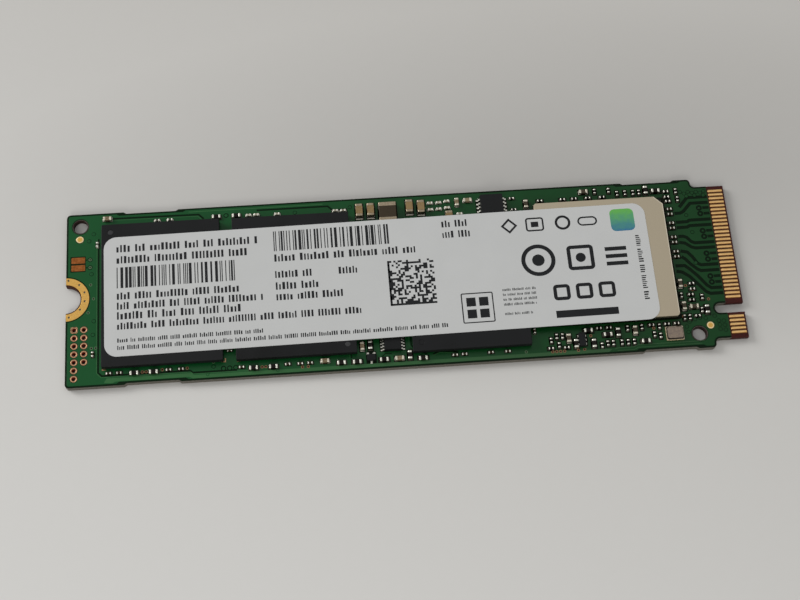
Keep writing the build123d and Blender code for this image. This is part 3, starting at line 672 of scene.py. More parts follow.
# %% Cut the lower pour
draw = random.Random(7)
needle_spots = []
for column in range(13):
    for row in range(4):
        x = -32 + column * 5.1 + draw.uniform(-1.4, 1.4)
        y = -7.5 + row * 5 + draw.uniform(-1.3, 1.3)
        if draw.random() < 0.62 and 1.2 < abs(y) < 7.5:
            needle_spots.append((x, y))
lower_gaps = [
    strip([(-34.5, 9.4), (-12, 9.4), (-10.5, 8.2), (20, 8.2), (21.5, 9.4), (33, 9.4)], 0.12),
    strip([(-34.5, -9.5), (4, -9.5), (5.2, -8.6), (30, -8.6)], 0.12),
]
LANES = ((-33, -14, 0.6), (-33, -14, 0.1), (-9.4, 12, 0.35), (-9.4, 12, -0.15), (16.5, 33, 0.2))
lower_gaps += [strip([(start, lane), (stop, lane)], 0.1) for start, stop, lane in LANES]
lower_pour = [board_outline(0.24, 2.8, 37.86, 0.85)] + tooling_windows + ring_windows
lower_pour += lower_gaps + circles(needle_spots, 0.5)
sheet("copper_pour_bottom", lower_pour, 0, LOWER_POUR, mask_on_copper, edge=0.004)
sheet("test_pads", circles(needle_spots, 0.38), 0, 0.02, pad_gold, edge=0.006)
print("test pads:", len(needle_spots))

# %% [markdown]
# ## Gold contacts
# The contacts are hard gold on nickel on copper, and look like small rounded ingots side by
# side. Each is cut as a strip with a blunt inner end and a rounded rim. A narrow brown strip
# along the front flank of each paints the shade on that side.

# %% Plate the contacts
HALF_CONTACT = 0.175


def contact_lines(first):
    """The middle lines of a row of contacts, without those that the key slot takes."""
    lines = [first - CONTACT_PITCH * i for i in range(int(2 * first / CONTACT_PITCH) + 1)]
    return [y for y in lines if abs(y - KEY_Y) > 1.0]


def contact(y):
    """A strip with a blunt inner end and slightly cut outer corners."""
    half = ((38.0, 0.07), (38.1, HALF_CONTACT), (39.76, HALF_CONTACT), (39.8, 0.13))
    return [(x, y - away) for x, away in half] + [(x, y + away) for x, away in reversed(half)]


upper_lines, lower_lines = contact_lines(9.25), contact_lines(9.0)
plate("contacts_top", [contact(y) for y in upper_lines], 0.755, 0.79, upper_gold, "gold_plate",
      "top_edge_contacts", edge=0.014)
plate("contacts_bottom", [contact(y) for y in lower_lines], 0.01, 0.045, lower_gold, "gold_plate",
      "bottom_edge_contacts", edge=0.014)
flank_shades = [rectangle(38.06, 39.77, y - 0.19, y - 0.1) for y in upper_lines]
sheet("contact_flank_shades", flank_shades, TONGUE_TOP, 0.7915, flank_shade_gold, edge=0.004)
# A dark brown bed under each row shows in the gaps: bare laminate, darkened further as painted
# shade between the contacts.
shade_beds = [rectangle(37.9, 39.72, low, high) for low, high in ((-4.95, 9.45), (-9.45, -7.05))]
sheet("contact_bed_painted_shade", shade_beds, 0.755, 0.763, scorched_and_shade)
print("contacts above and below:", len(upper_lines), len(lower_lines))

# %% [markdown]
# ## Screw rings and alignment discs
# The half rings take the head of the screw, and six small plugged vias sit in the upper one.
# The wall of the notch was cut through the plated copper, which scorched it. Two round discs
# guide the machine that sets the parts: pale at the rim, a little more worn in the middle. All
# are sheets again, since each is flat with a rounded edge.

# %% Plate the rings and discs
def half_ring(outer, inner):
    """Half a ring round the notch, which ends on the board's edge."""
    wide = [math.degrees(math.acos(0.04 / radius)) for radius in (outer, inner)]
    outside = arc(LEFT_END, 0, outer, -wide[0], wide[0], 32)
    return outside + arc(LEFT_END, 0, inner, wide[1], -wide[1], 24)


RING_VIAS = [
    (-39.7, 2.43), (-38.43, 1.8), (-37.8, 0.83), (-37.77, -0.3), (-38.33, -1.33), (-39.6, -2.25)
]
screw_ring = half_ring(2.75, 1.87)
plate("half_ring_top", [screw_ring] + circles(RING_VIAS, 0.13, 12), TONGUE_TOP, PAD_TOP,
      pad_gold, "gold_plate", "mounting_pad_top")
plate("half_ring_bottom", [screw_ring], 0, 0.04, pad_gold, "gold_plate", "mounting_pad_bottom")
sheet("notch_rim", [half_ring(1.86, 1.76)], TONGUE_TOP, 0.785, scorched_and_shade)
sheet("notch_wall", [half_ring(1.755, 1.735)], 0.03, 0.77, scorched_and_shade)
plate("fiducials", circles(FIDUCIALS, 0.435, 28), BOARD_TOP, PAD_TOP, pale_gold, "gold_plate",
      "fiducial_discs")
sheet("fiducial_middles", circles(FIDUCIALS, 0.3, 24), 0.81, 0.832, pad_gold)
print("half ring corners:", len(screw_ring))

# %% [markdown]
# ## Turned profiles
# Rings, barrels and vias are all round. A via could be a cylinder with a disc on each end, but a
# profile of radius and height that is turned about its axis gives the soft lip as well.

# %% Turning helpers
def turned(mesh, x, y, profile, steps=16):
    """Add a profile of radius and height, turned about an upright axis, to a mesh."""
    rings = []
    for radius, height in profile:
        rings.append([mesh.verts.new((px, py, height)) for px, py in circle(x, y, radius, steps)])
    for lower_ring, upper_ring in zip(rings, rings[1:]):
        for i in range(steps):
            j = (i + 1) % steps
            mesh.faces.new((lower_ring[i], upper_ring[i], upper_ring[j], lower_ring[j]))
    return rings


def built(name, mesh, material, smooth=35):
    """Turn a bmesh drawn in millimetres into a piece."""
    bmesh.ops.recalc_face_normals(mesh, faces=mesh.faces)
    data = bpy.data.meshes.new(name)
    mesh.to_mesh(data)
    mesh.free()
    return place_mesh(name, data, material, smooth)


trial = bmesh.new()
turned(trial, 0, 0, [(1, 0), (1, 1)])
print("faces between two rings:", len(trial.faces))
trial.free()

# %% [markdown]
# ## Header and tooling holes
# Twelve plated holes make a header for a plug that is never fitted. Each is a barrel: a ring of
# bare copper on either face, joined by a thin wall that flux has stained a dark red. The mask
# leaves a dark outline round each ring. The two wider tooling holes aren't plated, so their
# walls show the drilled laminate.

# %% Turn the header and the tooling holes
rims, barrels, outlines, walls = (bmesh.new() for part in range(4))
upper_rim = [(0.405, 0.8), (0.4, 0.822), (0.38, 0.83), (0.3, 0.83), (0.255, 0.81)]
lower_rim = [(0.255, 0.02), (0.3, 0.0), (0.38, 0.0), (0.4, 0.008), (0.405, 0.035)]
mouth = [(0.255, 0.81), (0.23, 0.77), (0.215, 0.7), (0.215, 0.1), (0.23, 0.06), (0.255, 0.02)]
for x, y in HEADER_HOLES:
    turned(rims, x, y, upper_rim)
    turned(rims, x, y, lower_rim)
    turned(barrels, x, y, mouth)
    turned(outlines, x, y, [(0.46, 0.803), (0.41, 0.806)])
for x, y in TOOLING_HOLES:
    turned(walls, x, y, [(0.895, 0.79), (0.835, 0.76), (0.835, 0.04), (0.895, 0.01)], 32)
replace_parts(built("header_rims", rims, barrel_copper), "header_rings_top")
built("header_barrels", barrels, stained_wall)
built("header_outlines", outlines, plug_resin_and_shade)
built("tooling_hole_walls", walls, drilled_wall)
print("header holes:", len(HEADER_HOLES))

# %% [markdown]
# ## Bare copper marks and pads
# The first hole of the header has a square ring, as a sign of where to start counting. Small
# angles mark the corners of the packages, and two bare pads near the screw serve for testing.
# All are the copper of the board without its mask, which goes brown in air.

# %% Cut the copper marks and pads
first_x, first_y = HEADER_HOLES[0]
square = rounded_box(first_x - 0.4, first_x + 0.4, first_y - 0.4, first_y + 0.4, 0.2)
square_rim = [square, circle(first_x, first_y, 0.33, 24)]
sheet("first_header_rim", square_rim, BOARD_TOP, PAD_TOP, barrel_copper, edge=0.01)
corner_marks = []
for x, y, side in ((-35.75, -9.1, 1), (-21.45, -9.0, -1), (-20.2, -9.05, 1)):
    angle = ((0, 0), (0.5, 0), (0.5, 0.13), (0.13, 0.13), (0.13, 0.5), (0, 0.5))
    corner_marks.append([(x + away * side, y + rise) for away, rise in angle])
sheet("corner_marks", corner_marks, BOARD_TOP, RIDGE_TOP, barrel_copper, edge=0.005)
pads = [rounded_box(-39.37, -37.77, y - 0.39, y + 0.39, 0.08) for y in (4.95, 3.97)]
plate("copper_service_pads", pads, 0.79, PAD_TOP, oxidised_copper, "bare_copper", "service_pads")
print("corner marks:", len(corner_marks), "service pads:", len(pads))

# %% [markdown]
# ## Vias
# A via joins the layers of the board. Some are left bare, and some are plugged and inked over.
# A bump in the mask could hint at them, but real rims catch the light from all sides.

# %% Turn the open vias
BARE_VIAS = [
    (-31.1, -9.56), (-30.67, -9.56), (-28.8, -9.43), (-25.93, -9.44), (-17.3, -9.87),
    (-16.87, -9.87), (16.6, -10.3), (17.07, -10.3), (17.53, -10.3), (18.0, -10.3), (33.4, -3.0),
    (28.85, -8.15), (21.3, -8.6), (-12.64, -10.2), (-11.97, -10.2), (19.63, -10.3),
    (20.37, -10.24), (34.15, -3.6), (35.9, -4.9), (32.6, -6.9), (31.9, -6.0),
]
INKED_VIAS = PAD_VIAS + [
    (-36.97, -6.27), (-36.47, -6.27), (-37.1, 1.73), (-36.75, -0.07), (-37.37, -1.8),
    (13.5, -10.1), (-22.9, -8.9), (3.1, 9.2),
]
VIA_RIM = [(0.19, 0.815), (0.18, 0.832), (0.15, 0.836), (0.11, 0.832), (0.1, 0.815)]
plugs = bmesh.new()
for name, spots, finish in (
    ("bare_vias", BARE_VIAS, via_copper), ("inked_vias", INKED_VIAS, rim_mask)
):
    rims = bmesh.new()
    for x, y in spots:
        turned(rims, x, y, VIA_RIM, 14)
        plug = [plugs.verts.new((px, py, 0.83)) for px, py in circle(x, y, 0.115, 12)]
        plugs.faces.new(plug)
    built(name, rims, finish)
built("via_plugs", plugs, plug_resin_and_shade, smooth=0)
print("open vias:", len(BARE_VIAS + INKED_VIAS))

# %% [markdown]
# ## Covered vias
# Most vias lie under the mask. Each shows as a low dome with a dimple, in a dark moat where the
# pour is cut away. The ones beside the data lines have their moat in the pour already, so they
# only get a dome. Their places are a list, because a layout program sets vias where it needs
# them and not in rows.

# %% Turn the covered vias
COVERED_VIAS = [
    (34.6, 9.35), (35.05, 9.1), (35.55, 9.3), (36.05, 9.15), (36.55, 9.25), (37.05, 9.1),
    (37.5, 9.3), (35.3, 8.75), (36.3, 8.78), (37.4, 8.75), (36.3, -7.05), (36.7, -7.7),
    (37.3, -7.75), (36.75, -8.2), (37.35, -8.3), (36.75, -8.75), (37.35, -8.9), (33.2, -7.6),
    (33.9, -7.35), (34.5, -7.2), (32.8, -8.2), (32.9, -8.9), (35.2, -7.3), (34.9, 6.2),
    (34.6, -4.9), (35.3, 3.9), (35.1, -0.15), (-36.75, 8.3), (-37.3, 7.4), (-36.7, -2.9),
    (-36.8, -4.6), (-37.0, 3.1), (-22.9, -9.45), (-23.6, -10.4), (-15.5, -10.45), (-5.9, 9.9),
    (10.1, 10.1), (-20.9, 9.75), (-12.6, 9.6), (-21.75, -9.75), (-21.04, -9.75),
    (-20.33, -9.72),
]
domes, moats = bmesh.new(), bmesh.new()
for x, y in COVERED_VIAS:
    wide = 0.3 if -22 < x < -20 else 0.24
    turned(moats, x, y, [(wide + 0.02, 0.8225), (wide, 0.8262), (0.2, 0.8262)], 14)
built("via_moats", moats, mask_on_laminate)
for x, y in COVERED_VIAS + PAIRED_VIAS:
    size = 0.58 if (x, y) in PAIRED_VIAS else 1
    crown = [(0.21 * size, 0.82), (0.19 * size, 0.83), (0.13 * size, 0.832), (0.07 * size, 0.826)]
    rings = turned(domes, x, y, crown, 14)
    domes.faces.new(rings[-1])
built("covered_vias", domes, mask_on_copper)
print("covered vias:", len(COVERED_VIAS + PAIRED_VIAS))

# %% [markdown]
# ## Packages
# The three memory packages are moulded blocks with a slight radius on every edge and a small
# round mark where a pin pushed them out of the mould. A block cut from a rounded outline with a
# hole for the mark gives that directly. Substrates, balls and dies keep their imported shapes.

# %% Mould the packages
def box_mm(node):
    """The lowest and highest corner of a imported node, in millimetres."""
    return [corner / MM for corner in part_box(node)]


def dress(node, material, width=0.0):
    """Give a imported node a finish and, with a width in millimetres, rounded edges."""
    piece = nodes[node]
    for place in piece.material_slots:
        place.material = material
    if width:
        weld = piece.modifiers.new("join_faces", "WELD")
        weld.merge_threshold = 0.001 * MM
        rounding = piece.modifiers.new("round_edges", "BEVEL")
        rounding.width = width * MM
        rounding.segments = 2
        rounding.limit_method = "ANGLE"
        rounding.angle_limit = math.radians(40)
        rounding.harden_normals = True


PIN_MARKS = {"flash_left": (-34.65, 7.95), "flash_right": (-7.25, -8.05), "memory": (1.35, -8.4)}
for package, spot in PIN_MARKS.items():
    low, high = box_mm(package + "_mould")
    block = [rounded_box(low.x, high.x, low.y, high.y, 0.15), circle(*spot, 0.31, 28)]
    plate(package + "_block", block, low.z, high.z, mould, "mould_compound",
          package + "_mould", edge=0.045)
    shine = mould if package == "memory" else polished_mould
    pin_mark = [circle(*spot, 0.3, 28)]
    sheet(package + "_mark", pin_mark, 1.6, 1.775, shine, edge=0.015)
for package in [*PIN_MARKS, "controller"]:
    dress(package + "_substrate", substrate, 0.02)
    dress(package + "_balls", solder)
for node in ("flash_left_dies", "flash_right_dies", "memory_dies", "controller_die"):
    dress(node, silicon)
print("memory package size in mm:", [round(c, 2) for c in high - low])

# %% [markdown]
# ## Chips and leads
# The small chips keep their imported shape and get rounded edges, which is where they catch the
# light. Their ends are tinned, on the larger ones with an older, browner tin. The bodies could
# be boxes with an image on them, but a rounded edge on a real solid looks right from all sides.

# %% Dress the chips
# Each group of chips has a body, a tin for its ends, and a rounding of those ends.
CHIPS = {
    "large_capacitor": (tan_ceramic, aged_tin, 0.085),
    "medium_capacitor": (medium_ceramic, worn_tin, 0.05),
    "medium_ferrite": (dark_ceramic, tin, 0.075),
    "upper_small_capacitor": (small_ceramic, tin, 0.03),
}
for group in (
    "upper_small_resistor", "lower_small_capacitor", "lower_small_resistor",
    "connector_small_resistor", "coupling_capacitor",
):
    CHIPS[group] = (brown_ceramic if "capacitor" in group else dark_ceramic, tin, 0.065)
for group, (ceramic, end_tin, rounding) in CHIPS.items():
    dress(group + "_bodies", ceramic, 0.02)
    dress(group + "_terminals", end_tin, rounding)
dress("bulk_capacitor_body", brown_ceramic, 0.05)
dress("bulk_capacitor_terminals", aged_tin, 0.07)
LEADS = ("power_chip_leads", "regulator_leads", "transistor_leads", "switch_terminals")
for node in ("power_chip_body", "regulator_body", "transistor_body", "switch_body"):
    dress(node, mould, 0.04)
for node in LEADS:
    dress(node, lead_tin, 0.015)
print("chip groups dressed:", len(CHIPS))

# %% [markdown]
# ## The clock crystal
# The crystal lies in a ceramic tray under a welded metal lid. Round the lid runs a dark band,
# which paints the shade where the lid meets the tray, and outside it the tray's rim is gilded and
# worn. Both could be drawn in the tray's material, but two thin frames have the right width
# whichever way the tray is finished.

# %% Dress the crystal
dress("crystal_base", tray_ceramic, 0.03)
dress("crystal_lid", crystal_metal, 0.04)
low, high = box_mm("crystal_base")
shade_band = [
    rounded_box(low.x + inset, high.x - inset, low.y + inset, high.y - inset, 0.12 + inset)
    for inset in (0.045, 0.16)
]
rim = [rounded_box(low.x, high.x, low.y, high.y, 0.1), shade_band[0]]
# The dark band, in the resin of the plugged holes, is painted shade round the lid.
sheet("crystal_lid_painted_shade", shade_band, 1.09, 1.15, plug_resin_and_shade)
sheet("crystal_rim", rim, 1.09, 1.12, worn_gold)
print("crystal size in mm:", [round(c, 2) for c in high - low])

# %% [markdown]
# ## The controller's lid
# The controller wears a stamped metal lid, which spreads its heat. The imported solid has its
# shape, so it only gets a rounded edge. A strip of brighter metal, set into the rounding along
# the right edge and the cut corner, paints the highlight that those edges catch.

# %% Dress the lid
dress("controller_lid", nickel, 0.08)
low, high = box_mm("controller_lid")
highlight_strip = strip([
    (high.x - 0.05, low.y + 0.4), (high.x - 0.05, high.y - 1.03), (high.x - 1.03, high.y - 0.05)
], 0.07)
sheet("lid_painted_highlight", [highlight_strip], 1.75, 1.802, highlight_nickel, edge=0.01)
print("lid size in mm:", [round(c, 2) for c in high - low])

# %% [markdown]
# ## Where every end is
# Solder needs to know where each tinned end lies and which way it looks. The places could be
# typed in again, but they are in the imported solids: points that share edges belong to one
# solid, and the corners of each solid give its place and size.

# %% Find the solids in a node
def solids_of(node):
    """The lowest and highest corner, in millimetres, of each separate solid of a node."""
    mesh = bmesh.new()
    mesh.from_mesh(nodes[node].data)
    bmesh.ops.remove_doubles(mesh, verts=mesh.verts, dist=0.001 * MM)
    seen, boxes = set(), []
    for first in mesh.verts:
        if first in seen:
            continue
        seen.add(first)
        waiting, found = [first], []
        while waiting:
            vertex = waiting.pop()
            found.append(vertex.co / MM)
            fresh = {edge.other_vert(vertex) for edge in vertex.link_edges} - seen
            seen |= fresh
            waiting += fresh
        spans = [[point[axis] for point in found] for axis in range(3)]
        boxes.append([Vector([pick(span) for span in spans]) for pick in (min, max)])
    mesh.free()
    return boxes


ends = {group: solids_of(group + "_terminals") for group in [*CHIPS, "bulk_capacitor", "switch"]}
middles = {group: solids_of(group + "_bodies") for group in CHIPS}
for group in ("bulk_capacitor", "switch"):
    middles[group] = solids_of(group + "_body")
print("tinned ends:", sum(len(found) for found in ends.values()))

# %% [markdown]
# ## Solder fillets
# Solder climbs each end in a hollow curve down to its pad, and this curve is what makes a chip
# read as soldered. A bevel could fake it, but here each end gets its own small curved face.

# %% Build one fillet
def fillet(mesh, box, way, reach, climb, rows=5):
    """A hollow curve of solder from the end of a terminal down to its pad."""
    low, high = box
    across = Vector((-way.y, way.x, 0))
    middle = (low + high) / 2
    half_way = abs((high - low).dot(way)) / 2
    half_across = abs((high - low).dot(across)) / 2
    start = Vector((middle.x, middle.y, 0)) + way * (half_way - 0.02)
    ribs = []
    for row in range(rows + 1):
        along = row / rows
        height = 0.826 + climb * (1 - along) ** 2.2
        wide, foot = half_across * (0.86 + 0.14 * along), half_across + 0.02
        centre = start + way * (reach + 0.02) * along
        rib = ((-foot, 0.824), (-wide, height), (wide, height), (foot, 0.824))
        ribs.append([mesh.verts.new(centre + across * y + Vector((0, 0, z))) for y, z in rib])
    for near, far in zip(ribs, ribs[1:]):
        for i in range(3):
            mesh.faces.new((near[i], near[i + 1], far[i + 1], far[i]))


def patch_of(mesh, outline, level):
    """One level face."""
    mesh.faces.new([mesh.verts.new((x, y, level)) for x, y in outline])


trial = bmesh.new()
fillet(trial, (Vector((0, 0, 0.8)), Vector((0.2, 0.3, 1.1))), Vector((1, 0, 0)), 0.1, 0.15)
print("faces in one fillet:", len(trial.faces))
trial.free()

# %% [markdown]
# ## Solder and shade at every end
# An end looks away from the nearest body, and its solder goes that way. Each part also gets a
# dark courtyard, a wider one where parts crowd, which paints the shade round the part. Solder is
# bright on the larger parts and dark on the small ones. All fillets of a kind are one piece, since
# nobody picks them apart.

# %% Solder every end
# How far the solder of the larger groups reaches, in mm, and climbs, as a part of their height.
FILLETS = {
    "large_capacitor": (0.18, 0.25),
    "bulk_capacitor": (0.18, 0.25),
    "medium_capacitor": (0.06, 0.5),
}
BRIGHT_ENDS = [*FILLETS, "upper_small_capacitor"]
bright_mesh, dull_mesh, yard_mesh = bmesh.new(), bmesh.new(), bmesh.new()
for group, boxes in ends.items():
    bodies = [(low + high) / 2 for low, high in middles[group]]
    solder_mesh = bright_mesh if group in BRIGHT_ENDS else dull_mesh
    for low, high in boxes:
        centre = (low + high) / 2
        nearest = min(bodies, key=lambda body: (body - centre).length)
        gap = centre - nearest
        along_x = abs(gap.x) > abs(gap.y)
        if along_x:
            way = Vector((math.copysign(1, gap.x), 0, 0))
        else:
            way = Vector((0, math.copysign(1, gap.y), 0))
        height = high.z - low.z
        reach, climb = FILLETS.get(group, (min(0.04 + 0.12 * height, 0.14), 0.5))
        fillet(solder_mesh, (low, high), way, reach, climb * height)
        back_to_body = abs(gap.x if along_x else gap.y)
        crowded = centre.x > 15 or -7 < centre.x < 3.5
        yard_and_shade = (yard_mesh, back_to_body, 0.14 if crowded else 0.07, 0.8275)
        for mesh, behind, spread, level in (yard_and_shade, (solder_mesh, 0.0, 0.02, 0.8285)):
            spots = [centre + way * reach, centre - way * behind]
            half = (high - low) / 2 + Vector((spread, spread, 0))
            xs, ys = [p.x for p in spots], [p.y for p in spots]
            sides = (min(xs) - half.x, max(xs) + half.x, min(ys) - half.y, max(ys) + half.y)
            patch_of(mesh, rounded_box(*sides, 0.05, 2), level)
for node in LEADS:
    low, high = box_mm(node)
    sides = (low.x - 0.1, high.x + 0.1, low.y - 0.1, high.y + 0.1)
    patch_of(yard_mesh, rounded_box(*sides, 0.08, 2), 0.8272)
# Beside the lid the dark patch reaches further to the right and behind: painted shade next to the
# lid.
low, high = box_mm("controller_lid")
sides = (low.x, high.x + 0.42, low.y - 0.12, high.y + 0.3)
patch_of(yard_mesh, rounded_box(*sides, 0.3, 3), 0.8268)
built("bright_chip_solder", bright_mesh, solder, smooth=60)
built("dull_chip_solder", dull_mesh, dull_solder, smooth=60)
built("chip_courtyards", yard_mesh, courtyard_mask_and_shade, smooth=0)
print("fillets:", sum(len(found) for found in ends.values()))

# %% [markdown]
# ## The label
# A long label with rounded corners lies flat on all four packages, turned by less than half a
# degree, as a hand put it on. It is cut as a thin sheet with a soft edge. A measure across the
# label starts at its own middle, so the print below turns with it.

# %% Cut the label
LABEL_TURN = math.radians(0.45)
LABEL_X, LABEL_Y = -2.85, -0.07
HALF_LENGTH, HALF_BREADTH = 32.5, 7.55


def on_label(x, y):
    """A place on the label, measured from its middle, in the board's millimetres."""
    c, s = math.cos(LABEL_TURN), math.sin(LABEL_TURN)
    return (LABEL_X + x * c - y * s, LABEL_Y + x * s + y * c)


square_edge = rounded_box(-HALF_LENGTH, HALF_LENGTH, -HALF_BREADTH, HALF_BREADTH, 1.5, 12)
label_edge = [on_label(x, y) for x, y in square_edge]
plate("paper_label", [label_edge], 1.8, 1.876, label_film, "label_film", "label", edge=0.022)
corner = on_label(-HALF_LENGTH, HALF_BREADTH)
print("label's top left corner in mm:", [round(c, 2) for c in corner])

# %% [markdown]
# ## Print on the label
# This part's print is plain and made of neutral shapes: rows of small blocks with the rhythm of
# words, random stripes, a random grid of cells, and rings, rounded frames and bars. A texture
# could carry them, but flat faces of ink just above the film stay sharp at any distance.

# %% Ink helpers
INK_LEVEL = 1.879
print_mesh = bmesh.new()


def ink_face(outline):
    """One face of ink with this outline, given on the label."""
    print_mesh.faces.new([print_mesh.verts.new((*on_label(x, y), INK_LEVEL)) for x, y in outline])


def ink_box(*sides):
    """A plain bar."""
    ink_face(rectangle(*sides))


def ink_band(*rims):
    """The area between two outlines that have as many points each."""
    outer, inner = (
        [print_mesh.verts.new((*on_label(x, y), INK_LEVEL)) for x, y in rim] for rim in rims
    )
    for i in range(len(outer)):
        j = (i + 1) % len(outer)
        print_mesh.faces.new((outer[i], outer[j], inner[j], inner[i]))


print("ink level, in mm:", INK_LEVEL)

# %% [markdown]
# ## Rows, stripes and cells
# Each row has its own seed, so that its blocks differ from the next row's and come out the same
# in every run. Stripes and cells get theirs too. The sizes follow what such a label holds: rows
# about a millimetre high, smaller ones below them, and cells of a quarter of a millimetre.

# %% Row, stripe and cell helpers
def word_row(seed, x_low, x_high, base, height, upright=False):
    """A row of small blocks in groups, from one end to the other."""
    pick = random.Random(seed)
    x = x_low
    while x < x_high:
        for block in range(pick.randint(3, 9)):
            wide = height * pick.uniform(0.16, 0.32)
            tall = height * pick.choice((0.68, 0.8, 0.94, 0.94))
            if x + wide > x_high:
                return
            if upright:
                ink_box(base, base + tall, -x - wide, -x)
            else:
                ink_box(x, x + wide, base, base + tall)
            x += wide + height * 0.19
        x += height * 0.45


def stripes(seed, x_low, x_high, y_low, y_high, unit=0.11):
    """Upright stripes, each one to three units wide."""
    pick = random.Random(seed)
    x = x_low
    while x < x_high - 3 * unit:
        wide = unit * pick.choice((1, 1, 2, 3))
        ink_box(x, x + wide, y_low, y_high)
        x += wide + unit * pick.choice((1, 1, 2, 3))


def cells(seed, x_low, y_low, count, size):
    """A square grid whose cells are filled at random; runs of filled cells are one plate."""
    pick = random.Random(seed)
    for row in range(count):
        run = 0
        for column in range(count + 1):
            if column < count and pick.random() < 0.52:
                run += 1
            elif run:
                x = x_low + (column - run) * size
                ink_box(x, x + run * size, y_low + row * size, y_low + (row + 1) * size)
                run = 0


# The first row, at the top left.
word_row(1, -31.0, -14.2, 5.55, 1.0)
print("blocks in the first row:", len(print_mesh.faces))

# %% [markdown]
# ## Where the rows and codes stand
# The left part of the label holds long rows with a striped field between them. The middle part
# holds more rows, a second striped field and the grid, with a bar along two of its sides. The
# places could follow a rule, but a printed label is laid out by hand, so they are a list. They
# are measured from the label's middle.

# %% Print the rows and codes
for seed, x_low, x_high, base, height in (
    (2, -31.0, -15.6, 4.1, 1.0), (3, -31.0, -15.9, -0.5, 0.95),
    (4, -31.0, -13.8, -1.75, 0.95), (5, -31.0, -16.2, -3.0, 1.0), (6, -31.0, -2.4, -4.25, 0.9),
    (7, -31.0, -14.0, -5.85, 0.55), (8, -31.0, 7.4, -6.75, 0.55), (9, -12.4, 4.6, 3.0, 1.0),
    (10, -12.4, -7.6, 0.9, 0.95), (11, -4.9, -2.2, 0.9, 0.95), (12, -12.4, -7.1, -0.6, 1.0),
    (13, -12.4, -4.3, -1.95, 0.95), (14, 7.8, 11.2, 6.0, 0.95), (15, 7.8, 11.6, 4.6, 0.95),
):
    word_row(seed, x_low, x_high, base, height)
stripes(21, -31.0, -16.8, 0.95, 3.6)
stripes(22, -12.4, 1.6, 4.35, 6.95)
cells(23, 0.9, -3.4, 22, 0.25)
ink_box(0.9, 1.15, -3.65, 2.1)
ink_box(0.9, 6.4, -3.65, -3.4)
print("print faces so far:", len(print_mesh.faces))

# %% [markdown]
# ## Plain marks
# Rings, rounded frames, bars and a diamond fill the rest of the printed area with shapes that
# mean nothing. Each ring or frame is a band between two outlines, one inside the other.

# %% Print the plain marks
def ring(x, y, radius, width):
    """A round band."""
    ink_band(circle(x, y, radius, 40), circle(x, y, radius - width, 40))


def frame_mark(x_low, x_high, y_low, y_high, radius, width):
    """A band along a rounded rectangle."""
    inside = (x_low + width, x_high - width, y_low + width, y_high - width)
    outer = rounded_box(x_low, x_high, y_low, y_high, radius)
    ink_band(outer, rounded_box(*inside, max(radius - width, 0.05)))


def diamond(x, y, reach):
    """The corners of a diamond."""
    return [(x + reach, y), (x, y + reach), (x - reach, y), (x, y - reach)]


ink_band(diamond(15.9, 5.6, 1.0), diamond(15.9, 5.6, 0.65))
frame_mark(17.9, 20.1, 4.7, 6.5, 0.35, 0.2)
ink_box(18.55, 19.45, 5.25, 5.95)
ring(22.4, 5.6, 0.95, 0.3)
frame_mark(24.2, 26.6, 5.0, 6.2, 0.6, 0.2)
ring(18.9, 0.9, 2.05, 0.5)
ink_face(circle(18.9, 0.9, 0.75, 32))
frame_mark(22.4, 25.6, -0.7, 2.5, 0.5, 0.45)
ink_face(circle(24.0, 0.9, 0.6, 32))
for y in (-0.4, 0.55, 1.5):
    ink_box(27.0, 29.6, y, y + 0.5)
frame_mark(9.2, 13.0, -6.5, -2.7, 0.2, 0.14)
for x, y in ((9.8, -5.9), (11.3, -5.9), (9.8, -4.4), (11.3, -4.4)):
    ink_box(x, x + 1.1, y, y + 1.1)
for line in range(4):
    word_row(30 + line, 14.2, 18.2, -2.75 - line * 0.62, 0.34)
word_row(35, 14.2, 17.6, -5.8, 0.34)
for x in (20.2, 22.9, 25.6):
    frame_mark(x, x + 2.0, -4.4, -2.4, 0.45, 0.42)
ink_box(20.2, 27.6, -6.6, -5.7)
word_row(40, -3.3, 5.2, 30.9, 0.62, upright=True)
print("print faces:", len(print_mesh.faces))
built("label_print", print_mesh, ink, smooth=0)

# %% [markdown]
# ## A two-tone patch
# One corner of the label holds a patch of coloured ink that runs from blue to green. Its tone
# follows the height on the label, and a slow noise makes the boundary sway as wet inks do.

# %% Print the patch
patch_surface = {"roughness": 0.45, "specular_ior_level": 0.3}
patch_ink, tree, shader, place = new_finish("two_tone_patch_ink", **patch_surface)
parts = add(tree, "SeparateXYZ", links={"Vector": place})
grain = add(tree, "TexNoise", {"Scale": per_mm(0.6), "Detail": 3}, {"Vector": place})
sway = add(tree, "Math", {1: 1.6 * MM}, {0: grain}, operation="MULTIPLY")
rise = add(tree, "Math", links={0: parts.outputs["Y"], 1: sway}, operation="ADD")
ramp = add(tree, "MapRange", {"From Min": 4.4 * MM, "From Max": 7.6 * MM}, {"Value": rise})
inks = ((0.0, "#1d5590"), (1.0, "#58a04a"))
tone = add(tree, "ValToRGB", links={"Fac": ramp}, stops=inks)
link(tree, shader, {"Base Color": tone})
patch = bmesh.new()
patch_edge = [on_label(x, y) for x, y in rounded_box(28.2, 31.1, 4.0, 6.9, 0.6)]
patch_of(patch, patch_edge, INK_LEVEL)
built("label_patch", patch, patch_ink, smooth=0)
print("patch corners:", len(patch_edge))
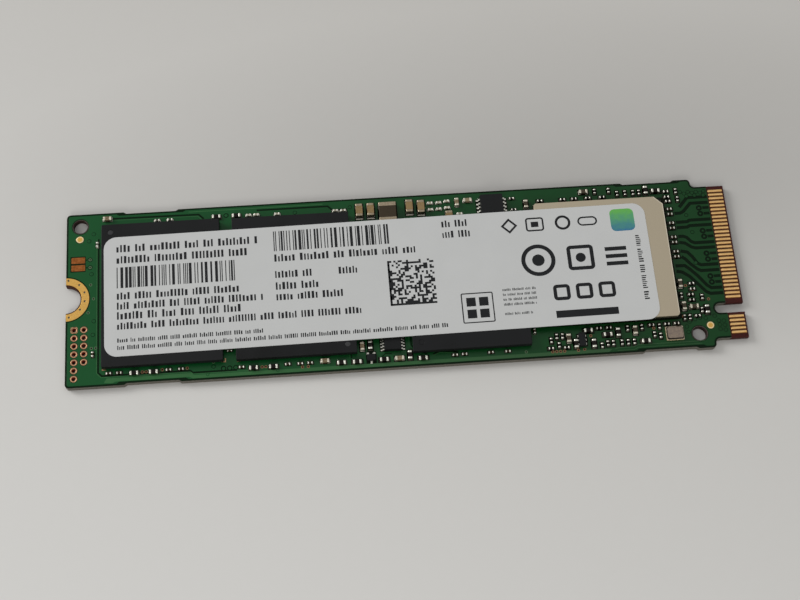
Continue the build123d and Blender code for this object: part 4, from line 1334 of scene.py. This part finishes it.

# %% [markdown]
# ## The floor
# The board lies on a pale desk. It is a wide plane just below the board. Its colour is painted
# a little darker to one side, as light that falls off across it, and darker still in a soft oval
# behind the board, a painted shadow.

# %% Lay the floor
desk, tree, shader, place = new_finish("pale_laminate_desk", roughness=0.7, specular_ior_level=0.2)
grain = add(tree, "TexNoise", {"Scale": per_mm(1.5), "Detail": 4}, {"Vector": place})
# The slope is painted light falloff: darker towards one side.
slope = {"Rotation": (0, 0, math.radians(-70)), "Scale": (1 / 0.09, 1 / 0.09, 1)}
slant = add(tree, "Mapping", slope, {"Vector": place})
fade = add(tree, "SeparateXYZ", links={"Vector": slant})
mottle = add(tree, "Math", {1: 0.08}, {0: grain}, operation="MULTIPLY")
level = add(tree, "Math", links={0: fade, 1: mottle}, operation="ADD")
spread = add(tree, "MapRange", {"From Min": -0.5, "From Max": 0.5}, {"Value": level})
pale = ((0.0, "#c9c8c5"), (1.0, "#b8b6b2"))
tone = add(tree, "ValToRGB", links={"Fac": spread}, stops=pale)
# The oval is a painted shadow behind the board.
shadow_oval = {"Location": (-0.24, -0.407, 0), "Scale": (1 / 0.075, 1 / 0.027, 0)}
oval = add(tree, "Mapping", shadow_oval, {"Vector": place})
pool = add(tree, "TexGradient", links={"Vector": oval}, gradient_type="SPHERICAL")
dim = add(tree, "MapRange", {"To Min": 1.0, "To Max": 0.74}, {"Value": pool.outputs["Fac"]})
shadowed = add(tree, "HueSaturation", links={"Color": tone, "Value": dim})
link(tree, shader, {"Base Color": shadowed})
FLOOR_SIZE = 3
ground = bmesh.new()
bmesh.ops.create_grid(ground, x_segments=2, y_segments=2, size=FLOOR_SIZE)
floor_data = bpy.data.meshes.new("floor")
ground.to_mesh(floor_data)
ground.free()
floor = bpy.data.objects.new("floor", floor_data)
floor.location.z = -0.02 * MM
floor_data.materials.append(desk)
bpy.context.collection.objects.link(floor)
print("floor, from its middle to its edge, in m:", FLOOR_SIZE)

# %% [markdown]
# ## Sky and lamps
# The sky is brightest overhead and a little behind the board, and dim near the horizon, as a
# room with a lit ceiling is: level metal then looks bright, and its rounded rims look dark. An
# even sky can't do that. A second, weaker glow in front lights the walls that face the viewer.
# A wide lamp far to the left adds a soft shadow and keeps its glare off the gold. Together they
# light a level surface so that a colour looks as it is written.

# %% Light the scene
sky = bpy.data.worlds.new("room")
bpy.context.scene.world = sky
sky.use_nodes = True
tree = sky.node_tree
background = tree.nodes["Background"]
background.inputs["Color"].default_value = linear("#ffffff")
way = add(tree, "TexCoord").outputs["Generated"]
glows = []
for direction, narrowness in (((0.05, 0.37, 0.93), 4.0), ((0.0, -0.85, 0.53), 3.0)):
    toward = add(tree, "VectorMath", {1: direction}, {0: way}, operation="DOT_PRODUCT")
    lit = add(tree, "Math", {1: 0.0}, {0: toward.outputs["Value"]}, operation="MAXIMUM")
    glows.append(add(tree, "Math", {1: narrowness}, {0: lit}, operation="POWER"))
dome = add(tree, "MapRange", {"To Min": 0.24, "To Max": 0.86}, {"Value": glows[0]})
both = add(tree, "Math", {1: 0.55}, {0: glows[1], 2: dome}, operation="MULTIPLY_ADD")
link(tree, background, {"Strength": both})


def lamp(name, spot_mm, size_mm, power, colour):
    """A square lamp that faces the board."""
    light = bpy.data.lights.new(name, "AREA")
    light.size = size_mm * MM
    light.energy = power
    light.color = linear(colour)[:3]
    holder = bpy.data.objects.new(name, light)
    holder.location = Vector(spot_mm) * MM
    holder.rotation_euler = (-holder.location).to_track_quat("-Z", "Y").to_euler()
    bpy.context.collection.objects.link(holder)


lamp("window", (-760, 420, 480), 450, 6.7, "#ffffff")
lamp("room_fill", (-190, -560, 420), 240, 1.2, "#fffdf8")
bpy.context.scene.view_settings.view_transform = "Standard"
